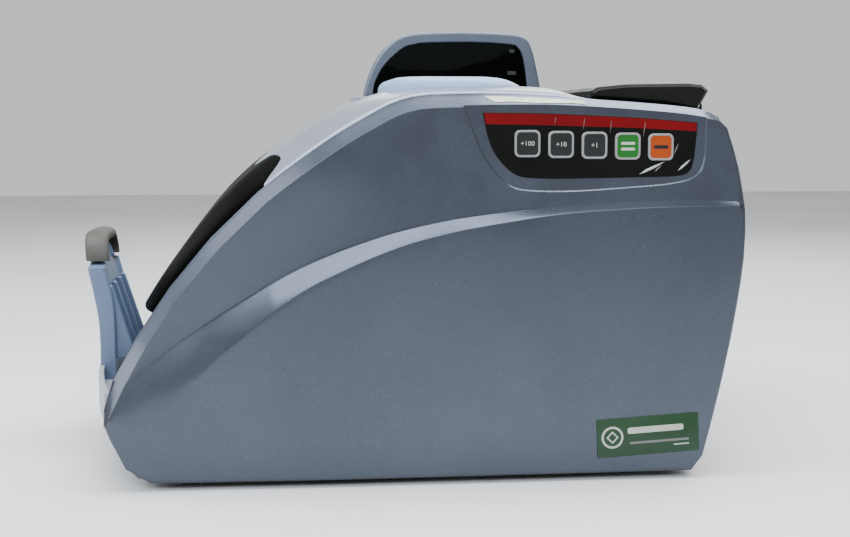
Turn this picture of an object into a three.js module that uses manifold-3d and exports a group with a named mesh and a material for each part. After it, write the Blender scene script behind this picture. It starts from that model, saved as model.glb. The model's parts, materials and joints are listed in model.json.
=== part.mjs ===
// Banknote counting machine: a tabletop note counter with a hopper on top at the +X end, a stacker pocket
// low at the -X end, and its keys on the near side (-Y). Millimetres, +Z up, the floor is at z = 0.
import * as THREE from 'three';
import { mergeVertices } from 'three/addons/utils/BufferGeometryUtils.js';
import Module from 'manifold-3d';

const wasm = await Module();
wasm.setup();

// ---- Driving dimensions ----
const HALF_WIDTH = 140;          // outer faces of the two side covers
const PARTING_Y = 132;           // where a side cover meets the covers between
const GAP = 0.3;                 // clearance between touching pieces
const COVER_Y = PARTING_Y - GAP; // half width of every cover between the side covers
const WALL = 3;                  // moulded wall
const RIM_FLARE = 10.2;          // how far the bevelled rim flares outwards over its depth
const LEDGE_DEPTH = 2.5;         // the upper part of a side face is set back this far
const CROWN_HEIGHT = 6;          // rise of the top between its two edges
const CROWN_RUN = 45;            // width over which the crown rises
const RIM_RISE = 7;              // parting line above the edge of the side face
const FRAME_Y = 106;             // outer faces of the steel side plates
const SHEET = 2;                 // steel sheet thickness
const FOOT_HEIGHT = 4;           // the body stands this high on its feet
const FRONT_REACH = 207;         // the stacker plate's lip, left of the body's own origin
const REAR_REACH = 181.2;        // the rear end, right of the body's own origin

// Shaft centres and radii in the body's own frame, as [x, z]
const DRUM = { x: 62, z: 120, radius: 26, pulley: 15 };
const FEED = { x: 126, z: 153.5, radius: 16, pulley: 10 };
const STACKER = { x: -98, z: 78, radius: 36, pulley: 20 };
const MOTOR = { x: 20, z: 50, radius: 22, pulley: 10 };
const RETARD = { x: 79, z: 152.5, radius: 10 };

// ---- Colours ----
const paint = (color, roughness, metalness) => new THREE.MeshStandardMaterial({
  color, roughness, metalness,
});
const bodyBlue = paint(0x6b7688, 0.35, 0.4);
const silver = paint(0xb4b8c0, 0.35, 0.4);
const lightGrey = paint(0xc4c8d0, 0.45, 0);
const glossBlack = paint(0x070807, 0.08, 0);
const blackPlastic = paint(0x22231f, 0.45, 0);
const steel = paint(0xa8abae, 0.35, 0.9);
const rubber = paint(0x2a2a2a, 0.9, 0);
const redRubber = paint(0x8a3a2c, 0.85, 0);
const beige = paint(0x85836f, 0.7, 0);
const paleBlue = paint(0xbfd2ee, 0.4, 0);
const circuitGreen = paint(0x1f5a34, 0.5, 0);
const labelGreen = paint(0x24492b, 0.4, 0);
const darkKey = paint(0x3c3c3c, 0.5, 0);
const greenKey = paint(0x3f8f42, 0.5, 0);
const orangeKey = paint(0xe0690f, 0.5, 0);

// ---- Solids ----
function solid(geometry) {
  const bare = geometry.index ? geometry.toNonIndexed() : geometry.clone();
  bare.deleteAttribute('normal');
  bare.deleteAttribute('uv');
  const merged = mergeVertices(bare, 1e-4);
  const vertProperties = new Float32Array(merged.attributes.position.array);
  const triVerts = new Uint32Array(merged.index.array);
  return new wasm.Manifold(new wasm.Mesh({ numProp: 3, vertProperties, triVerts }));
}

function geometryOf(body) {
  const mesh = body.getMesh();
  const geometry = new THREE.BufferGeometry();
  geometry.setAttribute('position', new THREE.BufferAttribute(new Float32Array(mesh.vertProperties), 3));
  geometry.setIndex(new THREE.BufferAttribute(new Uint32Array(mesh.triVerts), 1));
  geometry.computeVertexNormals();
  return geometry;
}

const join = (...bodies) => bodies.reduce((sum, body) => sum.add(body));
const cut = (body, ...tools) => tools.reduce((rest, tool) => rest.subtract(tool), body);

function box(x0, x1, y0, y1, z0, z1) {
  const geometry = new THREE.BoxGeometry(x1 - x0, y1 - y0, z1 - z0);
  return solid(geometry.translate((x0 + x1) / 2, (y0 + y1) / 2, (z0 + z1) / 2));
}

// A disc or rod with its axis along Y, centred on (x, z)
function rod(x, z, radius, y0, y1, sides = 18) {
  const geometry = new THREE.CylinderGeometry(radius, radius, y1 - y0, sides);
  return solid(geometry.translate(x, (y0 + y1) / 2, z));
}

function rodAlongX(y, z, radius, x0, x1, sides = 12) {
  const geometry = new THREE.CylinderGeometry(radius, radius, x1 - x0, sides).rotateZ(Math.PI / 2);
  return solid(geometry.translate((x0 + x1) / 2, y, z));
}

function post(x, y, radius, z0, z1, sides = 14) {
  const geometry = new THREE.CylinderGeometry(radius, radius, z1 - z0, sides).rotateX(Math.PI / 2);
  return solid(geometry.translate(x, y, (z0 + z1) / 2));
}

// A side-view shape (x, z) carried across the machine from y0 to y1
function across(shape, y0, y1, curveSegments = 2) {
  const geometry = new THREE.ExtrudeGeometry(shape, { depth: y1 - y0, bevelEnabled: false, curveSegments });
  return solid(geometry.rotateX(Math.PI / 2).translate(0, y1, 0));
}

// The same, with both ends narrowing over `run` so that the middle is `rise` larger all round
function crowned(shape, y0, y1, rise, run, steps) {
  const options = {
    depth: y1 - y0 - 2 * run, bevelEnabled: true, bevelThickness: run, bevelSize: rise,
    bevelSegments: steps, curveSegments: 2,
  };
  const geometry = new THREE.ExtrudeGeometry(shape, options);
  return solid(geometry.rotateX(Math.PI / 2).translate(0, y1 - run, 0));
}

// A plan-view shape (x, y) raised from z0 to z1
function raised(shape, z0, z1, curveSegments = 6) {
  const geometry = new THREE.ExtrudeGeometry(shape, { depth: z1 - z0, bevelEnabled: false, curveSegments });
  return solid(geometry.translate(0, 0, z0));
}

const points = (list) => list.map(([x, y]) => new THREE.Vector2(x, y));
const polygon = (list) => new THREE.Shape(points(list));

function roundedRectangle(x0, x1, y0, y1, r) {
  const shape = new THREE.Shape();
  shape.moveTo(x0 + r, y0);
  shape.lineTo(x1 - r, y0);
  shape.absarc(x1 - r, y0 + r, r, -Math.PI / 2, 0);
  shape.lineTo(x1, y1 - r);
  shape.absarc(x1 - r, y1 - r, r, 0, Math.PI / 2);
  shape.lineTo(x0 + r, y1);
  shape.absarc(x0 + r, y1 - r, r, Math.PI / 2, Math.PI);
  shape.lineTo(x0, y0 + r);
  shape.absarc(x0 + r, y0 + r, r, Math.PI, 1.5 * Math.PI);
  return shape;
}

// The outline moved inwards by `distance` (outwards if negative)
function inset(shape, distance, curveSegments = 2) {
  let list = shape.getPoints(curveSegments);
  list = list.filter((p, i) => i === 0 || p.distanceTo(list[i - 1]) > 0.01);
  if (list[0].distanceTo(list[list.length - 1]) < 0.01) {
    list = list.slice(0, -1);
  }
  const turn = THREE.ShapeUtils.isClockWise(list) ? -1 : 1;
  const moved = list.map((p, i) => {
    const before = list[(i + list.length - 1) % list.length];
    const after = list[(i + 1) % list.length];
    const a = p.clone().sub(before).normalize();
    const b = after.clone().sub(p).normalize();
    const normalA = new THREE.Vector2(-a.y, a.x).multiplyScalar(turn);
    const normalB = new THREE.Vector2(-b.y, b.x).multiplyScalar(turn);
    const middle = normalA.clone().add(normalB).normalize();
    return p.clone().addScaledVector(middle, distance / Math.max(0.5, middle.dot(normalA)));
  });
  return new THREE.Shape(moved);
}

// ---- Outlines of the body in side view ----
const REAR_CURVE = [[175.6, 180.3], [179.5, 162], [181, 140], [179.5, 114], [172.4, 69.5], [163.2, 27.3],
  [158, 6]];
const REAR_CORNER = [169.6, 198.5];

function addRearAndBottom(shape) {
  shape.splineThru(points(REAR_CURVE));
  shape.quadraticCurveTo(156.4, 0, 151, 0);
  shape.lineTo(-155, 0);
  shape.quadraticCurveTo(-168, 1, -171.5, 8);
  shape.quadraticCurveTo(-178, 20, -183, 34);
}

// The edge of the flat side face, where the bevelled rim begins
function faceOutline() {
  const shape = new THREE.Shape();
  shape.moveTo(-183, 34);
  shape.splineThru(points([[-168.8, 62], [-151, 92], [-128.7, 120.8], [-99.4, 152], [-57, 184],
    [-27, 202]]));
  shape.quadraticCurveTo(-14, 209.5, 0, 210);
  shape.splineThru(points([[38, 211.1], [72, 211.2], [109, 209.2], [141, 206.6], [160, 204]]));
  shape.quadraticCurveTo(167.3, 203, ...REAR_CORNER);
  addRearAndBottom(shape);
  return shape;
}

// What the rim may not pass: the rear end, the bottom and the upright front of the body
function limitOutline() {
  const shape = new THREE.Shape();
  shape.moveTo(-183.5, 34);
  shape.lineTo(-184, 60);
  shape.lineTo(-184, 240);
  shape.lineTo(150, 240);
  shape.lineTo(158, 212);
  shape.quadraticCurveTo(166, 209, ...REAR_CORNER);
  addRearAndBottom(shape);
  return shape;
}

const FACE = faceOutline();
const LIMIT = limitOutline();
const PARTING = inset(FACE, -RIM_RISE);
const LEDGE_LINE = [[-160, 38], [-139, 60], [-118, 84], [-90, 104], [-58, 120], [-20, 135], [27, 145],
  [80, 152], [185, 154.5]];

const machine = new THREE.Group();

function add(name, body, material, place = [0, 0, 0], parent = machine) {
  const mesh = new THREE.Mesh(body.isBufferGeometry ? body : geometryOf(body), material);
  mesh.name = name;
  mesh.position.set(...place);
  parent.add(mesh);
  return mesh;
}

// ---- Side covers ----
const FACE_Y = -HALF_WIDTH + LEDGE_DEPTH;       // the set-back upper part of the near side face
const INNER_Y = FACE_Y + WALL;                  // its inner surface
const RIM_DEPTH = HALF_WIDTH - PARTING_Y;
const FACE_INSET = RIM_FLARE * LEDGE_DEPTH / RIM_DEPTH;

function sideCover() {
  const rim = crowned(inset(FACE, FACE_INSET), -HALF_WIDTH, -100, RIM_FLARE, RIM_DEPTH, 1);
  const outer = rim.intersect(across(LIMIT, -HALF_WIDTH - 1, -PARTING_Y));
  const innerRim = crowned(inset(FACE, WALL + 1), INNER_Y, -100, RIM_FLARE, RIM_DEPTH, 1);
  const hollow = innerRim.intersect(across(inset(LIMIT, WALL), INNER_Y, -PARTING_Y + 1));
  const above = polygon([...LEDGE_LINE, [260, 154.5], [260, 260], [-260, 260], [-260, 38]]);
  const ledge = crowned(above, -HALF_WIDTH - 10, FACE_Y, LEDGE_DEPTH, LEDGE_DEPTH, 1);
  const below = LEDGE_LINE.map(([x, z]) => [x + 4, z - 7]);
  const lowerHollow = across(inset(FACE, 6), -HALF_WIDTH + WALL, INNER_Y + 0.1)
    .intersect(across(polygon([...below, [185, -20], [-160, -20]]), -HALF_WIDTH, -PARTING_Y));
  return cut(outer, hollow, lowerHollow, ledge);
}

// ---- Key field on the near side ----
const KEY_COUNT = 5;
const KEY_SIZE = 15.2;
const KEY_PITCH = 19.15;
const FIRST_KEY = [53.8, 189.8];
const KEY_DROP = 0.5;                            // each key sits this much lower than the one before
const KEY_CLEARANCE = 0.35;
const RECESS_Y = FACE_Y + 0.7;
const OVERLAY_Y = [RECESS_Y + 0.1, RECESS_Y + 0.8];

const recessOutline = polygon([[19, 208], [22.4, 200], [28, 186], [36, 174], [45, 166.3], [55, 163.7],
  [78, 163.4], [107, 165], [137, 167.5], [152, 172], [155.9, 180.5], [156.3, 201]]);
const overlayOutline = polygon([[28.6, 206], [31.5, 193], [36.6, 182.4], [46.9, 172.3], [61, 170],
  [119, 170.7], [142, 171.3], [147.8, 173.6], [150, 180.4], [151.4, 197], [151.4, 200.2]]);
const keyPlace = (i) => [FIRST_KEY[0] + i * KEY_PITCH, FIRST_KEY[1] - i * KEY_DROP];

function keyBlock(size, y0, y1, x, z) {
  const half = size / 2;
  return across(roundedRectangle(x - half, x + half, z - half, z + half, 3), y0, y1, 2);
}

function keyHoles(y0, y1) {
  const holes = [];
  for (let i = 0; i < KEY_COUNT; i++) {
    holes.push(keyBlock(KEY_SIZE + 2 * KEY_CLEARANCE, y0, y1, ...keyPlace(i)));
  }
  return join(...holes);
}

const LABEL = { x: 125.3, z: 22.2, width: 60, height: 22.5, tilt: 3.3 };

function labelBody(margin, y0, y1) {
  const [w, h] = [LABEL.width / 2 + margin, LABEL.height / 2 + margin];
  const shape = roundedRectangle(-w, w, -h, h, 1.5);
  return across(shape, y0, y1, 2).rotate([0, -LABEL.tilt, 0]).translate([LABEL.x, 0, LABEL.z]);
}

function nearSideCover() {
  const recess = crowned(recessOutline, -HALF_WIDTH - 8, RECESS_Y, 0.7, 0.7, 1);
  const pocket = across(inset(overlayOutline, -KEY_CLEARANCE), -HALF_WIDTH - 1, OVERLAY_Y[1] + GAP);
  const keys = keyHoles(-HALF_WIDTH, -PARTING_Y);
  return cut(sideCover(), recess, pocket, keys, labelBody(GAP, -HALF_WIDTH - 1, -HALF_WIDTH + 0.9));
}

add('near_side_cover', nearSideCover(), bodyBlue);
add('far_side_cover', sideCover().mirror([0, 1, 0]), bodyBlue);
const overlay = across(overlayOutline, ...OVERLAY_Y).subtract(keyHoles(-HALF_WIDTH, -PARTING_Y));
add('key_overlay', overlay, glossBlack);
add('label_plate', labelBody(0, -HALF_WIDTH + 0.1, -HALF_WIDTH + 0.6), labelGreen);

const keyColours = [darkKey, darkKey, darkKey, greenKey, orangeKey];
for (let i = 0; i < KEY_COUNT; i++) {
  const cap = keyBlock(KEY_SIZE, -1.4, 3, 0, 0);
  const flange = keyBlock(KEY_SIZE + 2.4, 2.9, 4, 0, 0);
  const [x, z] = keyPlace(i);
  add(`key_${i + 1}`, join(cap, flange), keyColours[i], [x, RECESS_Y - 0.2, z]);
}

function keyBoard() {
  const board = box(42, 143, -131.6, -130, 178, 200);
  const domes = [];
  for (let i = 0; i < KEY_COUNT; i++) {
    const [x, z] = keyPlace(i);
    domes.push(rod(x, z, 3.5, -131.9, -131, 12));
  }
  return join(board, ...domes);
}
add('key_board', keyBoard(), circuitGreen);

// ---- Covers between the side covers ----
const roofOuter = crowned(PARTING, -COVER_Y, COVER_Y, CROWN_HEIGHT, CROWN_RUN, 3)
  .intersect(across(LIMIT, -HALF_WIDTH, HALF_WIDTH));
const roofInner = crowned(inset(PARTING, WALL), -COVER_Y - 0.5, COVER_Y + 0.5, CROWN_HEIGHT, CROWN_RUN, 3)
  .intersect(across(inset(LIMIT, WALL), -HALF_WIDTH, HALF_WIDTH));
const roof = roofOuter.subtract(roofInner);

const ACCESS_BOTTOM = 97.5;                      // lower edge of the front access cover
const ACCESS_PIVOT = [-146, 100];
const ACCESS_PIN_RADIUS = 2.5;
const SLOPE_ORIGIN = [-94, 169];                 // where the access cover's top meets the parting line
const SLOPE_RISE = 0.6;                          // sine of the slope there
const SLOPE_RUN = 0.8;

// The access cover's outline, drawn on the slope: rounded upper corners with a shallow dip between
function accessRegion(margin) {
  const shape = new THREE.Shape();
  const edge = [[0, -132], [13, -120], [17, -106], [8, -60], [0, 0], [8, 60], [17, 106], [13, 120],
    [0, 132]];
  shape.moveTo(-160, -140);
  shape.lineTo(-6, -140);
  shape.splineThru(points(edge));
  shape.lineTo(-6, 140);
  shape.lineTo(-160, 140);
  const geometry = new THREE.ExtrudeGeometry(inset(shape, -margin, 2), { depth: 90, bevelEnabled: false });
  const turn = new THREE.Matrix4().makeBasis(
    new THREE.Vector3(SLOPE_RUN, 0, SLOPE_RISE), new THREE.Vector3(0, 1, 0),
    new THREE.Vector3(-SLOPE_RISE, 0, SLOPE_RUN));
  geometry.translate(0, 0, -45).applyMatrix4(turn);
  return solid(geometry.translate(SLOPE_ORIGIN[0], 0, SLOPE_ORIGIN[1]));
}

function accessCover() {
  const shell = roof.intersect(accessRegion(0)).intersect(box(-200, 0, -140, 140, ACCESS_BOTTOM, 240));
  const lugs = [-1, 1].map((side) => {
    const [y0, y1] = side < 0 ? [-113, -109] : [109, 113];
    return rod(...ACCESS_PIVOT, 12, y0, y1, 20).intersect(roofOuter);
  });
  return cut(join(shell, ...lugs), rod(...ACCESS_PIVOT, ACCESS_PIN_RADIUS + GAP, -120, 120, 16));
}
add('front_access_cover', accessCover(), glossBlack);
for (const [name, y0, y1] of [['access_pin_near', -116, -103], ['access_pin_far', 103, 116]]) {
  add(name, rod(...ACCESS_PIVOT, ACCESS_PIN_RADIUS, y0, y1, 16), steel);
}

// ---- Display, upright on its hinge; folds back flat into a recess of the top cover ----
const DISPLAY_HINGE = { y: 9, z: 212, radius: 2 };
const DISPLAY_DEPTH = 14;

function displayOutline() {
  const shape = new THREE.Shape();
  shape.moveTo(-29, 209);
  shape.splineThru(points([[-29, 219], [-25, 233], [-18.8, 245], [-9.3, 254.6]]));
  shape.splineThru(points([[0, 258.5], [14, 260], [40, 260.5], [67, 259.5], [77, 257]]));
  shape.splineThru(points([[81.5, 250.5], [85, 238], [88, 222], [88.5, 209]]));
  return shape;
}

function windowOutline() {
  const shape = new THREE.Shape();
  shape.moveTo(-22.5, 218);
  shape.splineThru(points([[-21.8, 226], [-15.4, 239.2], [-3.1, 251]]));
  shape.splineThru(points([[14, 254.7], [44, 255], [72, 253]]));
  shape.splineThru(points([[76.5, 240], [79.5, 218]]));
  return shape;
}

function displayHousing() {
  const [front, back] = [DISPLAY_HINGE.y - DISPLAY_DEPTH / 2, DISPLAY_HINGE.y + DISPLAY_DEPTH / 2];
  const body = crowned(inset(displayOutline(), 2), front, back, 2, 2.5, 2);
  const pocket = across(inset(windowOutline(), -GAP), front - 1, front + 2.3);
  const bore = rodAlongX(DISPLAY_HINGE.y, DISPLAY_HINGE.z, DISPLAY_HINGE.radius + GAP, -60, 120);
  return cut(body, pocket, bore);
}
const displayFront = DISPLAY_HINGE.y - DISPLAY_DEPTH / 2;
add('display_housing', displayHousing(), bodyBlue);
add('display_window', across(windowOutline(), displayFront + 0.4, displayFront + 2), glossBlack);
add('display_hinge_pin', rodAlongX(DISPLAY_HINGE.y, DISPLAY_HINGE.z, DISPLAY_HINGE.radius, -33, 93), steel);

// ---- Top cover with the display recess, the hopper well and the shelf round the hopper ----
const HOPPER_FLOOR = [[160, 193], [97, 152], [86, 147.5]];
const WELL_Y = 97;                               // inner half width of the hopper
const SHELF = [[93, 215.4], [110, 213.2], [140, 210.6], [153, 207.6], [165, 201], [180, 192]];
const SHELF_Y = 118;

function topCover() {
  const regionOutline = polygon([[-130, 140], [-60, 160], [-20, 196], [200, 196], [200, 260], [-130, 260]]);
  const region = across(regionOutline, -140, 140);
  const shell = roof.intersect(region).subtract(accessRegion(0.4));
  const tub = box(-35, 95, -4, 64, 201, 219);
  const shelfBand = polygon([...SHELF, ...SHELF.map(([x, z]) => [x, z - WALL]).reverse()]);
  const shelf = across(shelfBand, -SHELF_Y - 4, SHELF_Y + 4).intersect(roofOuter).intersect(region);
  const sideWall = polygon([[94, 213], [94, 168], [106, 168], [152, 196.5], [152, 208]]);
  const well = across(sideWall, -WELL_Y - 2.5, WELL_Y + 2.5);
  const tubHollow = box(-32.5, 92.5, -1.5, 61.5, 203.5, 240);
  const aboveShelf = across(polygon([...SHELF, [180, 260], [93, 260]]), -SHELF_Y, SHELF_Y);
  const wellHollow = across(polygon([[97, 260], [97, 150], [220, 150], [220, 260]]), -WELL_Y, WELL_Y);
  const bore = rodAlongX(DISPLAY_HINGE.y, DISPLAY_HINGE.z, DISPLAY_HINGE.radius + GAP, -33.6, 93.6);
  return cut(join(shell, tub, shelf, well), aboveShelf, wellHollow, tubHollow, bore);
}
add('top_cover', topCover(), silver);

function plinth() {
  const outline = roundedRectangle(-23, 58, -122, -10, 9);
  const geometry = new THREE.ExtrudeGeometry(outline, {
    depth: 6, bevelEnabled: true, bevelThickness: 4.5, bevelSize: 3, bevelOffset: -3, bevelSegments: 2,
    curveSegments: 4,
  });
  const block = solid(geometry.translate(0, 0, 217.3));
  const clearance = crowned(inset(PARTING, -GAP), -COVER_Y, COVER_Y, CROWN_HEIGHT, CROWN_RUN, 3);
  return block.subtract(clearance).intersect(box(-60, 90, -130, 0, 210, 228));
}
add('display_plinth', plinth(), paleBlue);

// ---- Rear end, base and front ----
const BASE_Z = 0.5;
const REAR_TOP = 195.7;
const REAR_PANEL = { x: 166.4, z: 41, lean: 11.9 };  // where the power fittings sit, and the wall's lean
const INLET = { y: -84, width: 27.5, height: 20 };
const SWITCH = { y: -50, width: 13, height: 19.5 };

const rearPanel = new THREE.Group();                 // its local x points straight out of the leaning wall
rearPanel.position.set(REAR_PANEL.x, 0, REAR_PANEL.z);
rearPanel.rotation.y = THREE.MathUtils.degToRad(REAR_PANEL.lean);
machine.add(rearPanel);

function onRearPanel(body) {
  return body.rotate([0, REAR_PANEL.lean, 0]).translate([REAR_PANEL.x, 0, REAR_PANEL.z]);
}

function fitting(part, margin, x0, x1) {
  const [w, h] = [part.width / 2 + margin, part.height / 2 + margin];
  return box(x0, x1, part.y - w, part.y + w, -h, h);
}

function rearCover() {
  const wall = cut(across(FACE, -COVER_Y, COVER_Y), across(inset(FACE, WALL), -HALF_WIDTH, HALF_WIDTH));
  const panel = wall.intersect(box(140, 200, -HALF_WIDTH, HALF_WIDTH, 8, REAR_TOP));
  const slots = [];
  for (let y = 10; y <= 100; y += 10) {
    slots.push(box(140, 200, y, y + 4, 70, 120));
  }
  const openings = [INLET, SWITCH].map((part) => onRearPanel(fitting(part, GAP, -20, 20)));
  return cut(panel, ...slots, ...openings);
}
add('rear_cover', rearCover(), bodyBlue);

function powerInlet() {
  const body = join(fitting(INLET, 0, -18, 0.5), fitting(INLET, 2.5, 0.5, 2));
  const mouth = fitting(INLET, -3, -13, 3);
  const pins = [-7, 0, 7].map((y) => box(-15, -6, INLET.y + y - 1, INLET.y + y + 1, -2, 2));
  return join(body.subtract(mouth), ...pins);
}
add('power_inlet', powerInlet(), blackPlastic, [0, 0, 0], rearPanel);

const ROCKER_PIVOT = -3.5;
function rocker() {
  const half = SWITCH.height / 2 - 1;
  const profile = polygon([[-9, -4], [-2.5, -half], [0.3, -half], [-0.9, 0], [2.2, half], [-2.5, half],
    [-9, 4]]);
  return across(profile, -SWITCH.width / 2 + 0.8, SWITCH.width / 2 - 0.8).translate([-ROCKER_PIVOT, 0, 0]);
}
add('power_switch', rocker(), blackPlastic, [ROCKER_PIVOT, SWITCH.y, 0], rearPanel);

const PAN = { x0: -148, x1: 150 };
const FEET = [[-130, -95], [-130, 95], [125, -95], [125, 95]];

function basePan() {
  const outer = box(PAN.x0, PAN.x1, -COVER_Y, COVER_Y, BASE_Z, 14);
  const inner = box(PAN.x0 + WALL, PAN.x1 - WALL, -COVER_Y + WALL, COVER_Y - WALL, BASE_Z + WALL, 20);
  const holes = FEET.map(([x, y]) => post(x, y, 3.3, -1, 8));
  return cut(outer, inner, ...holes);
}
add('base_pan', basePan(), blackPlastic);

function foot() {
  const profile = points([[0, -FOOT_HEIGHT], [8, -FOOT_HEIGHT], [9, -FOOT_HEIGHT + 1], [9, 0.2], [3, 0.2],
    [3, BASE_Z + WALL + GAP], [3.8, BASE_Z + WALL + GAP], [2, BASE_Z + WALL + 3], [0, BASE_Z + WALL + 3]]);
  return solid(new THREE.LatheGeometry(profile, 14).rotateX(Math.PI / 2));
}
FEET.forEach(([x, y], i) => add(`foot_${i + 1}`, foot(), rubber, [x, y, 0]));

function frontLowerCover() {
  const inside = across(inset(FACE, WALL), -HALF_WIDTH, HALF_WIDTH);
  const outer = across(FACE, -COVER_Y, COVER_Y).subtract(inside);
  return outer.intersect(box(-200, PAN.x0 - GAP, -HALF_WIDTH, HALF_WIDTH, BASE_Z, 33.5));
}
add('front_lower_cover', frontLowerCover(), bodyBlue);

// ---- Stacker pocket ----
const TRAY = { back: -121, side: -183, bow: -198, floor: 40, top: 52 };
const STACK_PLATE = { half: 42, shoulder: 114, neckHalf: 25, top: 125, corner: 12 };
const LIP = { half: 32, top: 134.5, corner: 18 };

function trayOutline() {
  const shape = new THREE.Shape();
  shape.moveTo(TRAY.back, -COVER_Y);
  shape.lineTo(TRAY.back, COVER_Y);
  shape.lineTo(TRAY.side, COVER_Y);
  shape.quadraticCurveTo(2 * TRAY.bow - TRAY.side, 0, TRAY.side, -COVER_Y);
  return shape;
}

function stackerTray() {
  const outer = raised(trayOutline(), 34, TRAY.top, 8);
  const pocket = raised(inset(trayOutline(), WALL, 8), TRAY.floor + WALL, 60, 8);
  const openBack = box(-130, TRAY.back + 1, -COVER_Y + WALL, COVER_Y - WALL, TRAY.floor + WALL, 60);
  const under = raised(inset(trayOutline(), WALL, 8), 30, TRAY.floor, 8);
  const frameSlots = [-FRAME_Y, FRAME_Y - SHEET].map((y) => box(-135, -119, y - 1, y + SHEET + 1, 30, 60));
  const socketHalf = STACK_PLATE.half + GAP;
  const plateSocket = box(-196.5, -186, -socketHalf, socketHalf, TRAY.floor + 1, 60);
  return cut(outer, pocket, openBack, under, ...frameSlots, plateSocket);
}
add('stacker_tray', stackerTray(), lightGrey);

// A tongue seen along X: upright sides and round upper corners
function tongue(half, top, corner) {
  const shape = new THREE.Shape();
  shape.moveTo(-half, 30);
  shape.lineTo(half, 30);
  shape.lineTo(half, top - corner);
  shape.absarc(half - corner, top - corner, corner, 0, Math.PI / 2);
  shape.lineTo(corner - half, top);
  shape.absarc(corner - half, top - corner, corner, Math.PI / 2, Math.PI);
  const geometry = new THREE.ExtrudeGeometry(shape, { depth: 60, bevelEnabled: false, curveSegments: 6 });
  const alongX = new THREE.Matrix4().makeBasis(
    new THREE.Vector3(0, 1, 0), new THREE.Vector3(0, 0, 1), new THREE.Vector3(1, 0, 0));
  return solid(geometry.applyMatrix4(alongX).translate(-220, 0, 0));
}

// The plate leans outwards; it is thicker at its foot, where ribs stiffen its inner face, and narrows
// to a tongue at the top
function stackerPlate() {
  const profile = polygon([[-196, 42], [-196, 75], [-199, 95], [-203, 118], [-203, 128], [-197, 128],
    [-190.5, 105], [-187, 88], [-186.4, 62], [-186.4, 42]]);
  const ribProfile = polygon([[-189, 100], [-176, 62], [-178, 55], [-188, 55]]);
  const ribs = [-36, -13, 13, 36].map((y) => across(ribProfile, y - 3, y + 3));
  const foot = across(profile, -STACK_PLATE.half, STACK_PLATE.half)
    .intersect(box(-220, -170, -60, 60, 40, STACK_PLATE.shoulder));
  const neck = across(profile, -STACK_PLATE.half, STACK_PLATE.half)
    .intersect(tongue(STACK_PLATE.neckHalf, STACK_PLATE.top, STACK_PLATE.corner));
  return join(foot, neck, ...ribs);
}
add('stacker_plate', stackerPlate(), paleBlue);

// A soft edging bent round the plate's tongue
function stackerLip() {
  const shape = new THREE.Shape();
  shape.moveTo(-205.2, STACK_PLATE.shoulder + GAP);
  shape.quadraticCurveTo(-207, 120, -206.8, LIP.top - 7);
  shape.quadraticCurveTo(-206, LIP.top, -199.5, LIP.top);
  shape.quadraticCurveTo(-193, LIP.top, -191.5, LIP.top - 9);
  shape.lineTo(-189.5, STACK_PLATE.shoulder + GAP);
  const whole = across(shape, -LIP.half, LIP.half, 4);
  const opening = tongue(STACK_PLATE.neckHalf + GAP, STACK_PLATE.top + GAP, STACK_PLATE.corner + GAP);
  return whole.intersect(tongue(LIP.half, LIP.top, LIP.corner)).subtract(opening);
}
add('stacker_plate_lip', stackerLip(), beige);

const WHEEL_Y = 40;
const POCKET_HALF = 103.5;
function pocketWall() {
  const profile = polygon([[-134, 44], [-134, 92], [-128, 99], [-125.5, 97], [-131.5, 90.5], [-131.5, 44]]);
  const slots = [-WHEEL_Y, WHEEL_Y].map((y) => box(-140, -110, y - 8, y + 8, 47, 110));
  return cut(across(profile, -POCKET_HALF, POCKET_HALF), ...slots);
}
add('pocket_wall', pocketWall(), lightGrey);

// ---- Steel side plates ----
const SHAFT_RADIUS = 4;
const SHAFT_SIDES = 16;
const BETWEEN_FRAMES = FRAME_Y - SHEET - 0.5;    // half width of what spans the gap between the side plates
const frameOutline = polygon([[-118, 5], [143, 5], [156, 60], [166, 110], [168, 142], [163, 178],
  [158, 186], [100, 196], [-10, 196], [-60, 172], [-100, 140], [-128, 106], [-146, 106.5], [-152, 103],
  [-152, 96.5], [-146, 93], [-128, 90], [-118, 60]]);

function framePlate(y0) {
  const sheet = across(frameOutline, y0, y0 + SHEET);
  const bore = (x, z, radius) => rod(x, z, radius + GAP, y0 - 5, y0 + 5, SHAFT_SIDES);
  const holes = [DRUM, FEED, STACKER, MOTOR].map(({ x, z }) => bore(x, z, SHAFT_RADIUS));
  return cut(sheet, ...holes, bore(...ACCESS_PIVOT, ACCESS_PIN_RADIUS));
}
add('near_frame_plate', framePlate(-FRAME_Y), steel);
add('far_frame_plate', framePlate(FRAME_Y - SHEET), steel);

// ---- Hopper ----
const FLAP_HINGE = { x: 163, z: 212, radius: 2 };
const FLAP_Y = 100;
const EAR_Y = [92, 95.5];
const FEED_Y = 35;

function hopperFloor() {
  const top = [[165, 196], [160, 193], [97, 152], [90.5, 149.3]];
  const band = polygon([...top, ...top.map(([x, z]) => [x, z - 2.5]).reverse()]);
  const floor = across(band, -BETWEEN_FRAMES, BETWEEN_FRAMES);
  const ear = new THREE.Shape();
  ear.moveTo(156, 189.5);
  ear.lineTo(164, 194.8);
  ear.lineTo(167, 205);
  ear.lineTo(167, 212);
  ear.absarc(FLAP_HINGE.x, FLAP_HINGE.z, 4, 0, Math.PI);
  const ears = [EAR_Y, EAR_Y.map((y) => -y).reverse()].map(([y0, y1]) => across(ear, y0, y1));
  const rollerSlots = [-FEED_Y, FEED_Y].map((y) => box(108, 141, y - 10, y + 10, 130, 200));
  const guideSlots = [[-95, -58], [58, 95]].map(([y0, y1]) => box(145, 149.4, y0, y1, 170, 200));
  const bore = rod(FLAP_HINGE.x, FLAP_HINGE.z, FLAP_HINGE.radius + GAP, -110, 110, 16);
  return cut(join(floor, ...ears), ...rollerSlots, ...guideSlots, bore);
}
add('hopper_floor', hopperFloor(), blackPlastic);

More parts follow.
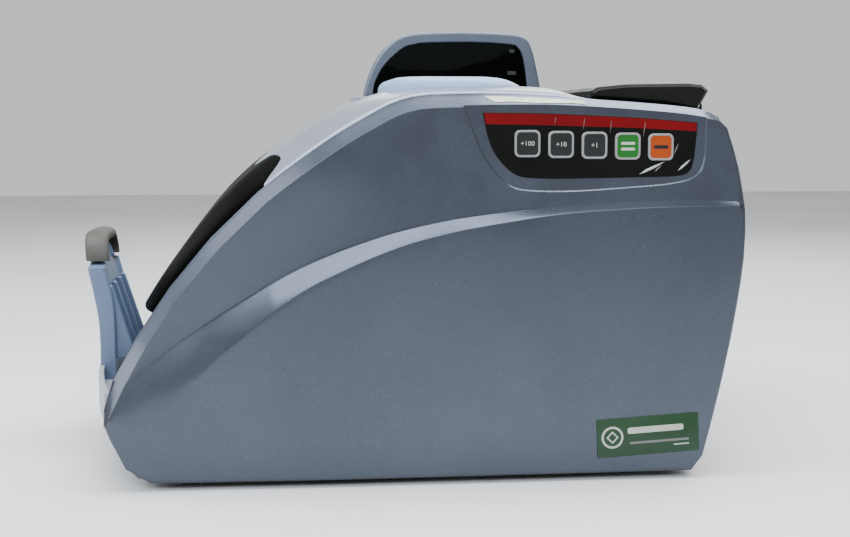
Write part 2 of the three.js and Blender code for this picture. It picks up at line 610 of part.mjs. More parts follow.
// Note guide: a side wall in the hopper that slides across, with a tongue through the floor's slot
function noteGuide(y0) {
  const wall = polygon([[104, 211], [104, 158.2], [150, 188], [150, 208]]);
  const tongue = polygon([[145.5, 195], [145.5, 176], [148.9, 176], [148.9, 195]]);
  return across(wall, y0, y0 + 2.5).add(across(tongue, y0, y0 + 2.5));
}
add('note_guide_near', noteGuide(0), blackPlastic, [0, -90, 0]);
add('note_guide_far', noteGuide(0), blackPlastic, [0, 87.5, 0]);

function hopperFlap() {
  const profile = polygon([[98.5, 216], [98.5, 220], [103, 222.3], [120, 224], [158, 224.6], [166, 223.8],
    [170, 220.5], [163.5, 208.9], [143, 212.8]]);
  const body = crowned(inset(profile, 1.8), -FLAP_Y, FLAP_Y, 1.8, 2.5, 1);
  const hollowOutline = polygon([[101.2, 205], [101.2, 219.5], [120, 221.4], [154, 222], [156, 205]]);
  const hollow = across(hollowOutline, WALL - FLAP_Y, FLAP_Y - WALL);
  const slots = [[-96.5, -91], [91, 96.5]].map(([y0, y1]) => join(
    box(150, 180, y0, y1, 200, 217.5), box(158, 180, y0, y1, 200, 219)));
  const bore = rod(FLAP_HINGE.x, FLAP_HINGE.z, FLAP_HINGE.radius + GAP, -98.5, 98.5, 16);
  return cut(body, hollow, ...slots, bore);
}
add('hopper_flap', hopperFlap(), blackPlastic);
add('flap_hinge_rod', rod(FLAP_HINGE.x, FLAP_HINGE.z, FLAP_HINGE.radius, -98, 98, 16), steel);

// ---- Shafts, rollers and pulleys: each turns about its own axis ----
const SHAFT_ENDS = [-110, 128];
const BELT_Y = { drive: [110, 117], stacker: [119, 126] };
const FLANGE = 2.4;

function shaft() {
  return rod(0, 0, SHAFT_RADIUS, ...SHAFT_ENDS, SHAFT_SIDES);
}

function roller(radius, y0, y1) {
  return cut(rod(0, 0, radius, y0, y1, 24), rod(0, 0, SHAFT_RADIUS + GAP, y0 - 1, y1 + 1, SHAFT_SIDES));
}

// A pulley groove between two flanges for the belt that runs from y0 to y1
function pulley(radius, belts, bored = true) {
  const grooves = belts.map(([y0, y1]) => join(
    rod(0, 0, radius, y0 - 1.5, y1 + 1.5, SHAFT_SIDES),
    rod(0, 0, radius + FLANGE, y0 - 1.5, y0 - 0.4, SHAFT_SIDES),
    rod(0, 0, radius + FLANGE, y1 + 0.4, y1 + 1.5, SHAFT_SIDES)));
  const body = join(...grooves);
  return bored ? body.subtract(rod(0, 0, SHAFT_RADIUS + GAP, 100, 130, SHAFT_SIDES)) : body;
}

function addSpindle(name, centre, rollerMaterial, rollerY, rollerWidth, belts) {
  const place = [centre.x, 0, centre.z];
  add(`${name}_shaft`, shaft(), steel, place);
  for (const [side, y] of [['near', -rollerY], ['far', rollerY]]) {
    const tyre = roller(centre.radius, y - rollerWidth / 2, y + rollerWidth / 2);
    add(`${name}_roller_${side}`, tyre, rollerMaterial, place);
  }
  add(`${name}_pulley`, pulley(centre.pulley, belts), blackPlastic, place);
}
addSpindle('drum', DRUM, redRubber, FEED_Y, 26, [BELT_Y.drive]);
addSpindle('feed', FEED, redRubber, FEED_Y, 16, [BELT_Y.drive]);

// Stacker wheel: a hub with curved fingers that catch each note and lay it in the pocket
function stackerWheel() {
  const fingers = [rod(0, 0, 12, -5, 5, SHAFT_SIDES)];
  const finger = new THREE.Shape();
  finger.moveTo(8, -2);
  finger.quadraticCurveTo(24, -4, STACKER.radius + 3, 13);
  finger.lineTo(STACKER.radius + 1.5, 14.5);
  finger.quadraticCurveTo(24, -0.5, 8, 2);
  for (let i = 0; i < 8; i++) {
    fingers.push(across(finger, -4, 4, 2).rotate([0, i * 45, 0]));
  }
  return cut(join(...fingers), rod(0, 0, SHAFT_RADIUS + GAP, -6, 6, SHAFT_SIDES));
}
add('stacker_shaft', shaft(), steel, [STACKER.x, 0, STACKER.z]);
add('stacker_wheel_near', stackerWheel(), rubber, [STACKER.x, -WHEEL_Y, STACKER.z]);
add('stacker_wheel_far', stackerWheel(), rubber, [STACKER.x, WHEEL_Y, STACKER.z]);
add('stacker_pulley', pulley(STACKER.pulley, [BELT_Y.stacker]), blackPlastic, [STACKER.x, 0, STACKER.z]);

const motorPulley = join(pulley(MOTOR.pulley, [BELT_Y.drive, BELT_Y.stacker], false),
  rod(0, 0, SHAFT_RADIUS, FRAME_Y - SHEET, 112, SHAFT_SIDES));
add('motor_pulley', motorPulley, steel, [MOTOR.x, 0, MOTOR.z]);
const motorCan = rod(MOTOR.x, MOTOR.z, MOTOR.radius, 30, 100, 28);
const motorBosses = rod(MOTOR.x, MOTOR.z, 9, 22, 103.7, 20);
add('main_motor', motorCan.add(motorBosses), steel);

// A belt round pulleys given anticlockwise: an arc on each, joined by their outer tangents
function beltPath(pulleys, clearance) {
  const lean = pulleys.map((a, i) => {
    const b = pulleys[(i + 1) % pulleys.length];
    const distance = Math.hypot(b.x - a.x, b.z - a.z);
    return Math.atan2(b.z - a.z, b.x - a.x) - Math.acos((a.pulley - b.pulley) / distance);
  });
  const shape = new THREE.Shape();
  pulleys.forEach((a, i) => {
    const from = lean[(i + pulleys.length - 1) % pulleys.length];
    shape.absarc(a.x, a.z, a.pulley + clearance, from, lean[i], false);
  });
  return shape;
}

function belt(pulleys, [y0, y1]) {
  return cut(across(beltPath(pulleys, 1.9), y0, y1, 8), across(beltPath(pulleys, GAP), y0 - 1, y1 + 1, 8));
}
add('drive_belt', belt([MOTOR, FEED, DRUM], BELT_Y.drive), rubber);
add('stacker_belt', belt([MOTOR, STACKER], BELT_Y.stacker), rubber);

// ---- Note path ----
function notePathGuide() {
  const top = [[33, 140], [0, 131], [-30, 117], [-56, 101]];
  const band = polygon([...top, ...top.map(([x, z]) => [x, z - 2]).reverse()]);
  return across(band, -BETWEEN_FRAMES, BETWEEN_FRAMES);
}
add('note_path_guide', notePathGuide(), steel);

const KNOB = { x: 72, z: 176 };
function retardBracket() {
  const bar = box(66, 88, -BETWEEN_FRAMES, BETWEEN_FRAMES, 167, 173);
  const arms = [-49, 46].map((y) => box(74, 84, y, y + 3, 147, 168));
  const bore = rod(RETARD.x, RETARD.z, 3 + GAP, -60, 60, 16);
  return cut(join(bar, ...arms), bore, post(KNOB.x, 0, 3 + GAP, 160, 180));
}
add('retard_bracket', retardBracket(), steel);
const retardRoller = join(rod(0, 0, RETARD.radius, -45.5, 45.5), rod(0, 0, 3, -49, 49, 16));
add('retard_roller', retardRoller, rubber, [RETARD.x, 0, RETARD.z]);
const knob = join(post(0, 0, 9, 0, 9, 18), post(0, 0, 3, -10, 1, 16));
add('gap_adjust_knob', knob, blackPlastic, [KNOB.x, 0, KNOB.z]);

// ---- Electrics ----
function mainBoard() {
  const board = box(-90, 55, -98, -8, 10, 11.6);
  const chips = [box(-60, -35, -75, -50, 11, 14), box(-10, 5, -60, -45, 11, 13.5),
    box(20, 50, -90, -80, 11, 20)];
  const capacitors = [[-75, -25], [30, -30], [42, -30]].map(([x, y]) => post(x, y, 5, 11, 24, 12));
  return join(board, ...chips, ...capacitors);
}
add('main_board', mainBoard(), circuitGreen);

function powerSupply() {
  const tray = box(78, 142, -98, -20, 8, 12);
  const transformer = join(box(86, 124, -80, -40, 11, 48), box(94, 116, -90, -30, 11, 42));
  return join(tray, transformer, post(133, -35, 6, 11, 36, 12));
}
add('power_supply', powerSupply(), steel);

// The body's own origin lies under the middle of its length once the machine is centred on its feet
machine.position.set((FRONT_REACH - REAR_REACH) / 2, 0, FOOT_HEIGHT);

export default machine;
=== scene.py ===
"""Looks of the banknote counting machine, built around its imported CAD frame."""
import json
import math

import bmesh
import bpy
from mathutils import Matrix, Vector


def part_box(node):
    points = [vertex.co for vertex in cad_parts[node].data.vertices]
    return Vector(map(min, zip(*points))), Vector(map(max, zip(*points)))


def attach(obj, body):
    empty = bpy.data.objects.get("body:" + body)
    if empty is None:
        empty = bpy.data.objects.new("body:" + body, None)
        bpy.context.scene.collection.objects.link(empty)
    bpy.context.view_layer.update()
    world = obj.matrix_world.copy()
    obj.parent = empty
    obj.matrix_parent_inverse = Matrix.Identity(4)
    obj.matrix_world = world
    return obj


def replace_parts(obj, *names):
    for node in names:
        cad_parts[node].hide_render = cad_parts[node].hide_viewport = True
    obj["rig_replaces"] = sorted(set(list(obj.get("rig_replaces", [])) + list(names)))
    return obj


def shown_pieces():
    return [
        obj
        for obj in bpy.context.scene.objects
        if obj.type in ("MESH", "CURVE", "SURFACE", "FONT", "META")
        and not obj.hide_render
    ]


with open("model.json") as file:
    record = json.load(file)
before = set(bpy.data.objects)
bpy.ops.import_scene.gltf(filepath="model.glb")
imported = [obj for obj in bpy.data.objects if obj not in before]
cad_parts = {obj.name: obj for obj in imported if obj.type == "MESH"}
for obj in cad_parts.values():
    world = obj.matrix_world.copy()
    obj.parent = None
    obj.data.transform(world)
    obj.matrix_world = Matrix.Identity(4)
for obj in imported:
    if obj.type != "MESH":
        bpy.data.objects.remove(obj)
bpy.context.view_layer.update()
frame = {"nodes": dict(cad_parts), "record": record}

NODES = frame["nodes"]

# ---- Where the body's own origin lies, from the frame ----
MM = 0.001
HOUSING_LOW, HOUSING_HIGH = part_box("near_side_cover")
HALF_WIDTH = -HOUSING_LOW.y                          # outer face of each side cover
PARTING_Y = -HOUSING_HIGH.y                          # where a side cover meets the top cover
BASE_Z = HOUSING_LOW.z                               # the side covers' bottom edge
REAR_REACH = 181.0                                   # from the outlines' origin to the rear, in millimetres
FRONT_REACH = 183.0                                  # and to the front edge of the side covers
ORIGIN_X = HOUSING_HIGH.x - REAR_REACH * MM
LEDGE_DEPTH = 2.5 * MM
FACE_Y = -HALF_WIDTH + LEDGE_DEPTH                   # the set-back upper part of the near side face
RECESS_Y = FACE_Y + 0.7 * MM                         # floor of the recess round the keys
GAP = 0.3 * MM
CROWN_HEIGHT = 6 * MM
CROWN_RUN = 45 * MM
RIM_RISE = 7 * MM


def place(x, z):
    """A point of the side view, drawn in millimetres about the body's own origin, in the frame's metres."""
    return Vector((ORIGIN_X + x * MM, BASE_Z + z * MM))


def line(pairs):
    """The points of a straight-sided outline."""
    return [place(x, z) for x, z in pairs]


def along_x(x, start, run):
    """How far x is along a stretch from start, 0 to 1 over the run; both are in the outlines' millimetres."""
    return (x - place(start, 0).x) / (run * MM)


# ---- Small maths ----
def clamp(value, low=0.0, high=1.0):
    return max(low, min(high, value))


def quarter_round(across):
    """Height of a quarter circle of radius 1, from 1 at its middle (0) to 0 at its edge (1)."""
    return math.sqrt(max(0.0, 1 - across ** 2))


def smooth(value):
    t = clamp(value)
    return t * t * (3 - 2 * t)


def mix(a, b, t):
    return a + (b - a) * t


def spline(points, steps):
    """A Catmull-Rom curve through the points, as a list of points."""
    out = []
    last = len(points) - 1
    for i in range(last):
        p0, p1 = points[max(i - 1, 0)], points[i]
        p2, p3 = points[i + 1], points[min(i + 2, last)]
        for k in range(steps):
            t = k / steps
            v0, v1 = (p2 - p0) * 0.5, (p3 - p1) * 0.5
            out.append((p1 * 2 - p2 * 2 + v0 + v1) * t ** 3
                       + (p2 * 3 - p1 * 3 - v0 * 2 - v1) * t ** 2 + v0 * t + p1)
    return out + [points[-1]]


def bezier(a, b, c, steps):
    """A quadratic curve from a to c, pulled towards b."""
    fractions = [k / steps for k in range(steps + 1)]
    return [a * (1 - t) ** 2 + b * 2 * t * (1 - t) + c * t ** 2 for t in fractions]


def curve(*pairs, steps=8):
    return spline([place(x, z) for x, z in pairs], steps)


def bend(*pairs, steps=8):
    return bezier(*[place(x, z) for x, z in pairs], steps)


def without_repeats(points, closed=False):
    out = [p for i, p in enumerate(points) if i == 0 or (p - points[i - 1]).length > 1e-6]
    if closed and (out[0] - out[-1]).length < 1e-6:
        out.pop()
    return out


def normals(points, closed=False):
    """Unit normals on the left of the direction of travel."""
    count = len(points)
    out = []
    for i in range(count):
        before = points[i - 1] if (closed or i) else points[0]
        after = points[(i + 1) % count] if (closed or i < count - 1) else points[-1]
        direction = (after - before).normalized()
        out.append(Vector((-direction.y, direction.x)))
    return out


# ---- Meshes ----
def into_scene(name, data):
    """A new object that holds the mesh, curve, lamp or camera."""
    made = bpy.data.objects.new(name, data)
    bpy.context.scene.collection.objects.link(made)
    return made


def smooth_faces(mesh, angle):
    """Smooth shading, with sharp edges above the angle."""
    mesh.polygons.foreach_set("use_smooth", [True] * len(mesh.polygons))
    mesh.set_sharp_from_angle(angle=math.radians(angle))


def new_object(name, vertices, faces, smooth_angle=35):
    mesh = bpy.data.meshes.new(name)
    mesh.from_pydata([tuple(v) for v in vertices], [], faces)
    return finish_object(name, mesh, smooth_angle)


def finish_object(name, mesh, smooth_angle=35):
    work = bmesh.new()
    work.from_mesh(mesh)
    bmesh.ops.remove_doubles(work, verts=work.verts, dist=1e-6)
    bmesh.ops.recalc_face_normals(work, faces=work.faces)
    work.to_mesh(mesh)
    work.free()
    smooth_faces(mesh, smooth_angle)
    return into_scene(name, mesh)


def apply_modifiers(target):
    """Replaces the object's mesh by what its modifiers make of it."""
    graph = bpy.context.evaluated_depsgraph_get()
    mesh = bpy.data.meshes.new_from_object(target.evaluated_get(graph), depsgraph=graph)
    target.modifiers.clear()
    old = target.data
    target.data = mesh
    bpy.data.meshes.remove(old)


def shade(target, angle=30):
    """Smooth faces with sharp edges above the angle, and normals led by the larger faces."""
    smooth_faces(target.data, angle)
    weighted = target.modifiers.new("weighted", "WEIGHTED_NORMAL")
    weighted.keep_sharp = True
    apply_modifiers(target)
    return target


def cut_away(target, cutter):
    """Subtracts the cutter from the target, and removes the cutter."""
    boolean = target.modifiers.new("cut", "BOOLEAN")
    boolean.operation = "DIFFERENCE"
    boolean.solver = "EXACT"
    boolean.object = cutter
    bpy.context.view_layer.update()
    apply_modifiers(target)
    bpy.data.objects.remove(cutter)
    return target


SOFTENED_ANGLE = 32                                  # degrees, for shading a piece with rounded edges


def soften(target, width, segments=3, angle=40):
    """Rounds the object's edges that are sharper than the angle."""
    bevel = target.modifiers.new("soften", "BEVEL")
    bevel.width = width
    bevel.segments = segments
    bevel.limit_method = "ANGLE"
    bevel.angle_limit = math.radians(angle)
    bevel.use_clamp_overlap = True
    bevel.harden_normals = False
    apply_modifiers(target)
    shade(target, SOFTENED_ANGLE)


def prism(name, outline, y0, y1):
    """A side-view outline carried across from y0 to y1."""
    count = len(outline)
    vertices = [(p.x, y0, p.y) for p in outline] + [(p.x, y1, p.y) for p in outline]
    faces = [(i, (i + 1) % count, count + (i + 1) % count, count + i) for i in range(count)]
    faces += [tuple(range(count))[::-1], tuple(range(count, 2 * count))]
    return new_object(name, vertices, faces)


def strips(rows, closed=False):
    """Quads between rows of equally many points; returns vertices and faces."""
    width = len(rows[0])
    vertices = [v for row in rows for v in row]
    faces = []
    for r in range(len(rows) - 1):
        for i in range(width if closed else width - 1):
            j = (i + 1) % width
            faces.append((r * width + i, r * width + j, (r + 1) * width + j, (r + 1) * width + i))
    return vertices, faces


def capped(name, rows, angle=35):
    """A closed body through loops of equally many points, with one flat face over each end."""
    vertices, faces = strips(rows, closed=True)
    count = len(rows[0])
    faces += [tuple(range(count)), tuple(range(len(vertices) - count, len(vertices)))]
    return new_object(name, vertices, faces, angle)


def stacked(name, levels, angle=30):
    """A closed body through loops of equally many points, each at its own y: (outline, y)."""
    return capped(name, [[(p.x, y, p.y) for p in outline] for outline, y in levels], angle)


def shell(name, loops, angle):
    """A closed sheet: each loop runs out on one side and back on the other, and quads close the end loops."""
    vertices, faces = strips(loops, closed=True)
    count = len(loops[0])
    for base in (0, len(vertices) - count):
        faces += [(base + k, base + k + 1, base + count - 2 - k, base + count - 1 - k)
                  for k in range(count // 2 - 1)]
    return new_object(name, vertices, faces, angle)


# ---- Materials ----
class Finish:
    """A material being built up on the object's own coordinates, in metres."""

    def __init__(self, name):
        self.material = bpy.data.materials.new(name)
        self.material.use_nodes = True
        self.nodes = self.material.node_tree.nodes
        self.link = self.material.node_tree.links.new
        self.shader = self.nodes["Principled BSDF"]
        self.where = self.nodes.new("ShaderNodeTexCoord").outputs["Object"]

    def set(self, name, value):
        """Gives one of the shader's inputs a number, or another node's output."""
        if isinstance(value, bpy.types.NodeSocket):
            self.link(value, self.shader.inputs[name])
        else:
            self.shader.inputs[name].default_value = value

    def noise(self, scale, detail=3.0, stretch=(1, 1, 1)):
        """A noise value, scale in cycles per metre."""
        mapping = self.nodes.new("ShaderNodeMapping")
        mapping.inputs["Scale"].default_value = stretch
        self.link(self.where, mapping.inputs["Vector"])
        texture = self.nodes.new("ShaderNodeTexNoise")
        texture.inputs["Scale"].default_value = scale
        texture.inputs["Detail"].default_value = detail
        self.link(mapping.outputs["Vector"], texture.inputs["Vector"])
        return texture.outputs["Fac"]

    def cells(self, scale, output):
        """Small cells: their distances or their colours."""
        texture = self.nodes.new("ShaderNodeTexVoronoi")
        texture.inputs["Scale"].default_value = scale
        self.link(self.where, texture.inputs["Vector"])
        return texture.outputs[output]

    def spread(self, value, low, high, start=0.3, end=0.7):
        """The value's range from start to end, mapped to low..high."""
        node = self.nodes.new("ShaderNodeMapRange")
        node.inputs["From Min"].default_value = start
        node.inputs["From Max"].default_value = end
        node.inputs["To Min"].default_value = low
        node.inputs["To Max"].default_value = high
        self.link(value, node.inputs["Value"])
        return node.outputs["Result"]

    def patches(self, scale, detail, low, high, start=0.3, end=0.7):
        """Noise whose range from start to end is mapped to low..high."""
        return self.spread(self.noise(scale, detail), low, high, start, end)

    def blend(self, factor, first, second):
        """A colour between two colours, which are tuples or other nodes' outputs."""
        node = self.nodes.new("ShaderNodeMix")
        node.data_type = "RGBA"
        self.link(factor, node.inputs[0])
        for socket, colour in ((node.inputs[6], first), (node.inputs[7], second)):
            if isinstance(colour, tuple):
                socket.default_value = (*colour, 1)
            else:
                self.link(colour, socket)
        return node.outputs[2]

    def bump(self, height, distance, strength):
        """Fine relief from a height, in metres."""
        node = self.nodes.new("ShaderNodeBump")
        node.inputs["Strength"].default_value = strength
        node.inputs["Distance"].default_value = distance
        self.link(height, node.inputs["Height"])
        self.set("Normal", node.outputs["Normal"])


def scaled(colour, factor):
    return tuple(channel * factor for channel in colour)


def paler(colour, factor, added):
    return tuple(min(1.0, channel * factor + added) for channel in colour)


def lacquer(name, colour, metallic, roughness, flake=0.25, coat=0.35):
    """Metallic paint on a moulding: flakes, faint clouding, orange peel and a clear coat."""
    finish = Finish(name)
    base = finish.blend(finish.patches(14, 3, 0, 1), scaled(colour, 0.93), scaled(colour, 1.07))
    flakes = finish.nodes.new("ShaderNodeSeparateColor")
    finish.link(finish.cells(2600, "Color"), flakes.inputs["Color"])
    sparkle = finish.spread(flakes.outputs["Red"], 0, flake, 0.55, 1.0)
    bright = finish.blend(sparkle, base, scaled(colour, 1.9))
    dust = finish.patches(900, 2, 0, 0.05, 0.64, 0.76)
    finish.set("Base Color", finish.blend(dust, bright, (0.62, 0.62, 0.6)))
    finish.set("Roughness", finish.patches(32, 4, roughness - 0.05, roughness + 0.07))
    finish.set("Metallic", metallic)
    finish.set("Coat Weight", coat)
    finish.set("Coat Roughness", 0.12)
    finish.bump(finish.noise(420, 2), 0.00001, 0.25)
    return finish.material


def gloss(name, colour, roughness=0.07, coat=0.5, specular=0.5):
    """Polished plastic with smudges and hairline scratches."""
    finish = Finish(name)
    finish.set("Specular IOR Level", specular)
    base = finish.blend(finish.patches(25, 3, 0, 1), scaled(colour, 0.8), scaled(colour, 1.25))
    finish.set("Base Color", base)
    finish.set("Roughness", finish.patches(45, 5, roughness, roughness + 0.09, 0.42, 0.72))
    finish.set("Coat Weight", coat)
    finish.set("Coat Roughness", 0.04)
    scratches = finish.spread(finish.noise(90, 2, (1, 1, 9)), 0, 1, 0.66, 0.72)
    finish.bump(scratches, 0.00001, 0.3)
    return finish.material


def moulded(name, colour, roughness=0.5, grain=1900, depth=0.00004, contrast=0.14, specular=0.5):
    """Spark-textured plastic: a fine grain, uneven gloss and slightly uneven colour."""
    finish = Finish(name)
    cloud = finish.patches(22, 4, 0, 1)
    base = finish.blend(cloud, scaled(colour, 1 - contrast), scaled(colour, 1 + contrast))
    speck = finish.patches(700, 2, 0, 0.16, 0.64, 0.74)
    finish.set("Base Color", finish.blend(speck, base, paler(colour, 1.6, 0.02)))
    finish.set("Roughness", finish.patches(60, 4, roughness - 0.08, roughness + 0.08))
    finish.set("Specular IOR Level", specular)
    finish.bump(finish.noise(grain, 3), depth, 0.8)
    return finish.material


def brushed(name, colour, roughness=0.32, stretch=(1, 30, 1)):
    """Steel with drawn or ground lines and faint stains."""
    finish = Finish(name)
    lines = finish.noise(160, 5, stretch)
    base = finish.blend(finish.spread(lines, 0, 1), scaled(colour, 0.82), scaled(colour, 1.12))
    stain = finish.patches(30, 3, 0, 0.35, 0.5, 0.8)
    finish.set("Base Color", finish.blend(stain, base, scaled(colour, 0.6)))
    finish.set("Roughness", finish.spread(lines, roughness - 0.08, roughness + 0.14))
    finish.set("Metallic", 0.95)
    finish.bump(lines, 0.00002, 0.5)
    return finish.material


def rubbery(name, colour, roughness=0.82):
    """Matt rubber with a fine pitted skin and pale bloom."""
    finish = Finish(name)
    bloom = finish.patches(55, 5, 0, 0.5, 0.48, 0.72)
    finish.set("Base Color", finish.blend(bloom, scaled(colour, 0.85), paler(colour, 1.25, 0.025)))
    finish.set("Roughness", finish.patches(90, 3, roughness - 0.08, roughness + 0.08))
    finish.bump(finish.cells(1500, "Distance"), 0.00005, 0.7)
    return finish.material


def circuit(name, colour):
    """Solder mask over copper tracks, which show as slightly paler, raised lines."""
    finish = Finish(name)
    tracks = finish.nodes.new("ShaderNodeTexBrick")
    tracks.inputs["Scale"].default_value = 260
    tracks.inputs["Mortar Size"].default_value = 0.035
    for socket, factor in (("Color1", 1), ("Color2", 1.25), ("Mortar", 2.3)):
        tracks.inputs[socket].default_value = (*scaled(colour, factor), 1)
    finish.link(finish.where, tracks.inputs["Vector"])
    pads = finish.spread(finish.cells(380, "Distance"), 1, 0, 0.1, 0.13)
    finish.set("Base Color", finish.blend(pads, tracks.outputs["Color"], (0.55, 0.52, 0.42)))
    finish.set("Roughness", finish.patches(80, 3, 0.28, 0.45))
    finish.bump(tracks.outputs["Fac"], 0.00004, 0.6)
    return finish.material


def paper(name, colour, flecks):
    """A printed sticker: slightly wavy film with small flecks of another colour."""
    finish = Finish(name)
    finish.set("Base Color", finish.blend(finish.patches(260, 3, 0, 0.75, 0.55, 0.66), colour, flecks))
    finish.set("Roughness", finish.patches(70, 3, 0.3, 0.5))
    finish.bump(finish.noise(120, 3), 0.00008, 0.5)
    return finish.material


def floor_material():
    finish = Finish("floor")
    finish.set("Base Color", finish.blend(finish.patches(3, 4, 0, 1), (0.56, 0.56, 0.56), (0.6, 0.6, 0.6)))
    finish.set("Roughness", finish.patches(9, 3, 0.6, 0.75))
    return finish.material


BODY_BLUE = (0.052, 0.061, 0.081)
SILVER = (0.222, 0.246, 0.30)
PALE_BLUE = (0.22, 0.31, 0.46)
LIGHT_GREY = (0.24, 0.25, 0.275)
OLIVE_BLACK = (0.0055, 0.0055, 0.0042)
RIM_GREY = (0.17, 0.17, 0.165)

looks = {
    "body_blue": lacquer("body_blue_lacquer", BODY_BLUE, 0.85, 0.26),
    "display_grey": lacquer("display_lacquer", (0.06, 0.073, 0.096), 0.5, 0.34),
    "silver": lacquer("silver_lacquer", SILVER, 0.6, 0.34, flake=0.2),
    "pale_blue": moulded("pale_blue_plastic", PALE_BLUE, 0.38, 1200, 0.00002, 0.05),
    "light_grey": moulded("light_grey_plastic", LIGHT_GREY, 0.45, 1500, 0.00003, 0.06),
    "gloss_black": gloss("gloss_black", (0.0008, 0.001, 0.0008), 0.34, 0.015, 0.004),
    "film_black": gloss("film_black", (0.0025, 0.0025, 0.0023), 0.14, 0.0, 0.15),
    "ghost_print": gloss("ghost_print", (0.02, 0.022, 0.02), 0.3, 0.0, 0.2),
    "black_plastic": moulded("textured_black_plastic", OLIVE_BLACK, 0.5, 1500, 0.00006, 0.3, 0.1),
    "steel": brushed("drawn_steel", (0.52, 0.53, 0.54)),
    "black_rubber": rubbery("black_rubber", (0.02, 0.02, 0.02)),
    "red_rubber": rubbery("red_rubber", (0.30, 0.06, 0.035), 0.75),
    "beige_rubber": rubbery("beige_rubber", (0.04, 0.04, 0.029), 0.72),
    "circuit_green": circuit("circuit_board", (0.012, 0.09, 0.03)),
    "label_green": gloss("label_green_film", (0.009, 0.032, 0.012), 0.28, 0.0, 0.3),
    "dark_key": moulded("dark_key_top", (0.009, 0.009, 0.009), 0.42, 2400, 0.00002, 0.1, 0.2),
    "green_key": moulded("green_key_top", (0.006, 0.085, 0.007), 0.42, 2400, 0.00002, 0.1, 0.2),
    "orange_key": moulded("orange_key_top", (0.25, 0.034, 0.0003), 0.42, 2400, 0.00002, 0.08, 0.2),
}
key_rim_look = moulded("key_rim_grey", RIM_GREY, 0.45, 2400, 0.00002, 0.06)
print_look = moulded("pale_print", (0.33, 0.35, 0.30), 0.5, 2400, 0.00001, 0.1)
dim_print_look = moulded("dim_print", (0.11, 0.11, 0.10), 0.5, 2400, 0.00001, 0.1)
red_film = gloss("red_film", (0.1, 0.002, 0.003), 0.2, 0.0, 0.12)
# The fold looks are painted highlights: the pale streaks of light that the film's folds catch, painted into
# their colour.
glint_fold_look = gloss("painted_glint_fold", (0.10, 0.075, 0.07), 0.2, 0.0, 0.4)
bright_glint_fold_look = gloss("bright_painted_glint_fold", (0.30, 0.31, 0.31), 0.2, 0.0, 0.4)
plate_look = moulded("plate_blue_plastic", (0.085, 0.12, 0.19), 0.36, 1200, 0.00002, 0.08)
sticker_look = paper("sticker_film", (0.47, 0.47, 0.36), (0.2, 0.27, 0.12))


def dress(target, body, slot_name, *replaced, look=None):
    """Gives a piece its body, the material of its slot or the given look, and the CAD nodes that it stands
    for.
    """
    target.data.materials.clear()
    target.data.materials.append(look or looks[slot_name])
    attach(target, body)
    if replaced:
        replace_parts(target, *replaced)
    return target


# ---- Side view of the housing ----
SLOPE = curve((-183, 34), (-168.8, 62), (-151, 92), (-128.7, 120.8), (-99.4, 152), (-57, 184), (-27, 202))
NOSE = bend((-27, 202), (-14, 209.5), (0, 210))
TOP = curve((0, 210), (38, 211.1), (72, 211.2), (109, 209.2), (141, 206.6), (160, 204))
CORNER = bend((160, 204), (167.3, 203), (169.6, 198.5))
REAR = curve((169.6, 198.5), (175.6, 180.3), (179.5, 162), (REAR_REACH, 140), (179.5, 114), (172.4, 69.5),
             (163.2, 27.3), (158, 6))
BULGE = REAR.index(max(REAR, key=lambda point: point.x))
REAR_HIGH, REAR_LOW = REAR[:BULGE + 1], REAR[BULGE:]
HEEL = bend((158, 6), (156.4, 0), (151, 0))
TOE = bend((-155, 0), (-168, 1), (-171.5, 8))
CHIN = bend((-171.5, 8), (-178, 20), (-183, 34))
UPPER_EDGE = without_repeats(SLOPE + NOSE + TOP + CORNER + REAR_HIGH)
LOWER_EDGE = without_repeats(CHIN[::-1] + TOE[::-1] + HEEL[::-1] + REAR_LOW[::-1])

LEDGE_TOP = curve((-200, 31), (-178, 50.5), (-157, 68.2), (-132, 86.4), (-90.6, 111.9), (-62.7, 125.6),
                  (-28, 138.2), (0, 145.2), (27, 149.6), (72.7, 154.2), (118.8, 157), (153.9, 157.6),
                  (184, 156))
LEDGE_LOW = curve((-176, -5), (-158, 28), (-140, 51.4), (-118.6, 72.5), (-76.8, 104.6), (-49, 119.4),
                  (-21, 131), (4, 138.2), (26.8, 143), (72.3, 149.9), (118.4, 153), (153.3, 153.8),
                  (184, 153.6))

FACE_BACK = 0.35 * MM                # the lower face stands this far inside the label's surface
HOLLOW_DEPTH = 2.4 * MM              # the upper face dips in by this above the wide end of the ledge
HOLLOW_RUN = 62 * MM                 # and the dip is gone this far above it
HOLLOW_FADES = (-70, 75)             # start and run along x, as along_x takes them
LEDGE_STARTS = 38                    # in front, the ledge is flush up to this height
LEDGE_RUN = 42 * MM                  # and has its full depth this far above that
LEDGE_POWER = 1.12                   # above 1, the ledge is steeper towards its top
TUCK_TOP = 33 * MM                   # below this height the face leans in
TUCK_LEAN = (0.105, 0.03)            # slope of that lean in front, and towards the rear
TUCK_SOFTNESS = (0.6 * MM, 14 * MM)  # how gradually it starts, in front and further back
LEAN_FADES = (-158, 110)
RIM_ROUND = 0.6 * MM
REAR_RIM_RISE = 4.4 * MM             # the bevelled rim is lower beside the hopper
RIM_BEGINS, RIM_LOWERS, RIM_ENDS = (-FRONT_REACH, 5), (15, 75), (150, 19.6)
EDGE_ROUND = 2.2 * MM
RIM_DEPTH = HALF_WIDTH - PARTING_Y
FRONT_LIMIT = place(-183.4, 0).x     # the bevelled rim is cut off upright here
RIM_STEPS = 5                        # rows over the rounded edge of the face
RIM_ROWS = (                         # along the flare, then depth left and how far inward, in metres
    (0.35, None, 0), (0.7, None, 0), (0.95, None, 0),
    (1, 0.12 * MM, 0.05 * MM), (1, 0, 0.4 * MM), (1, 0, 2.4 * MM))
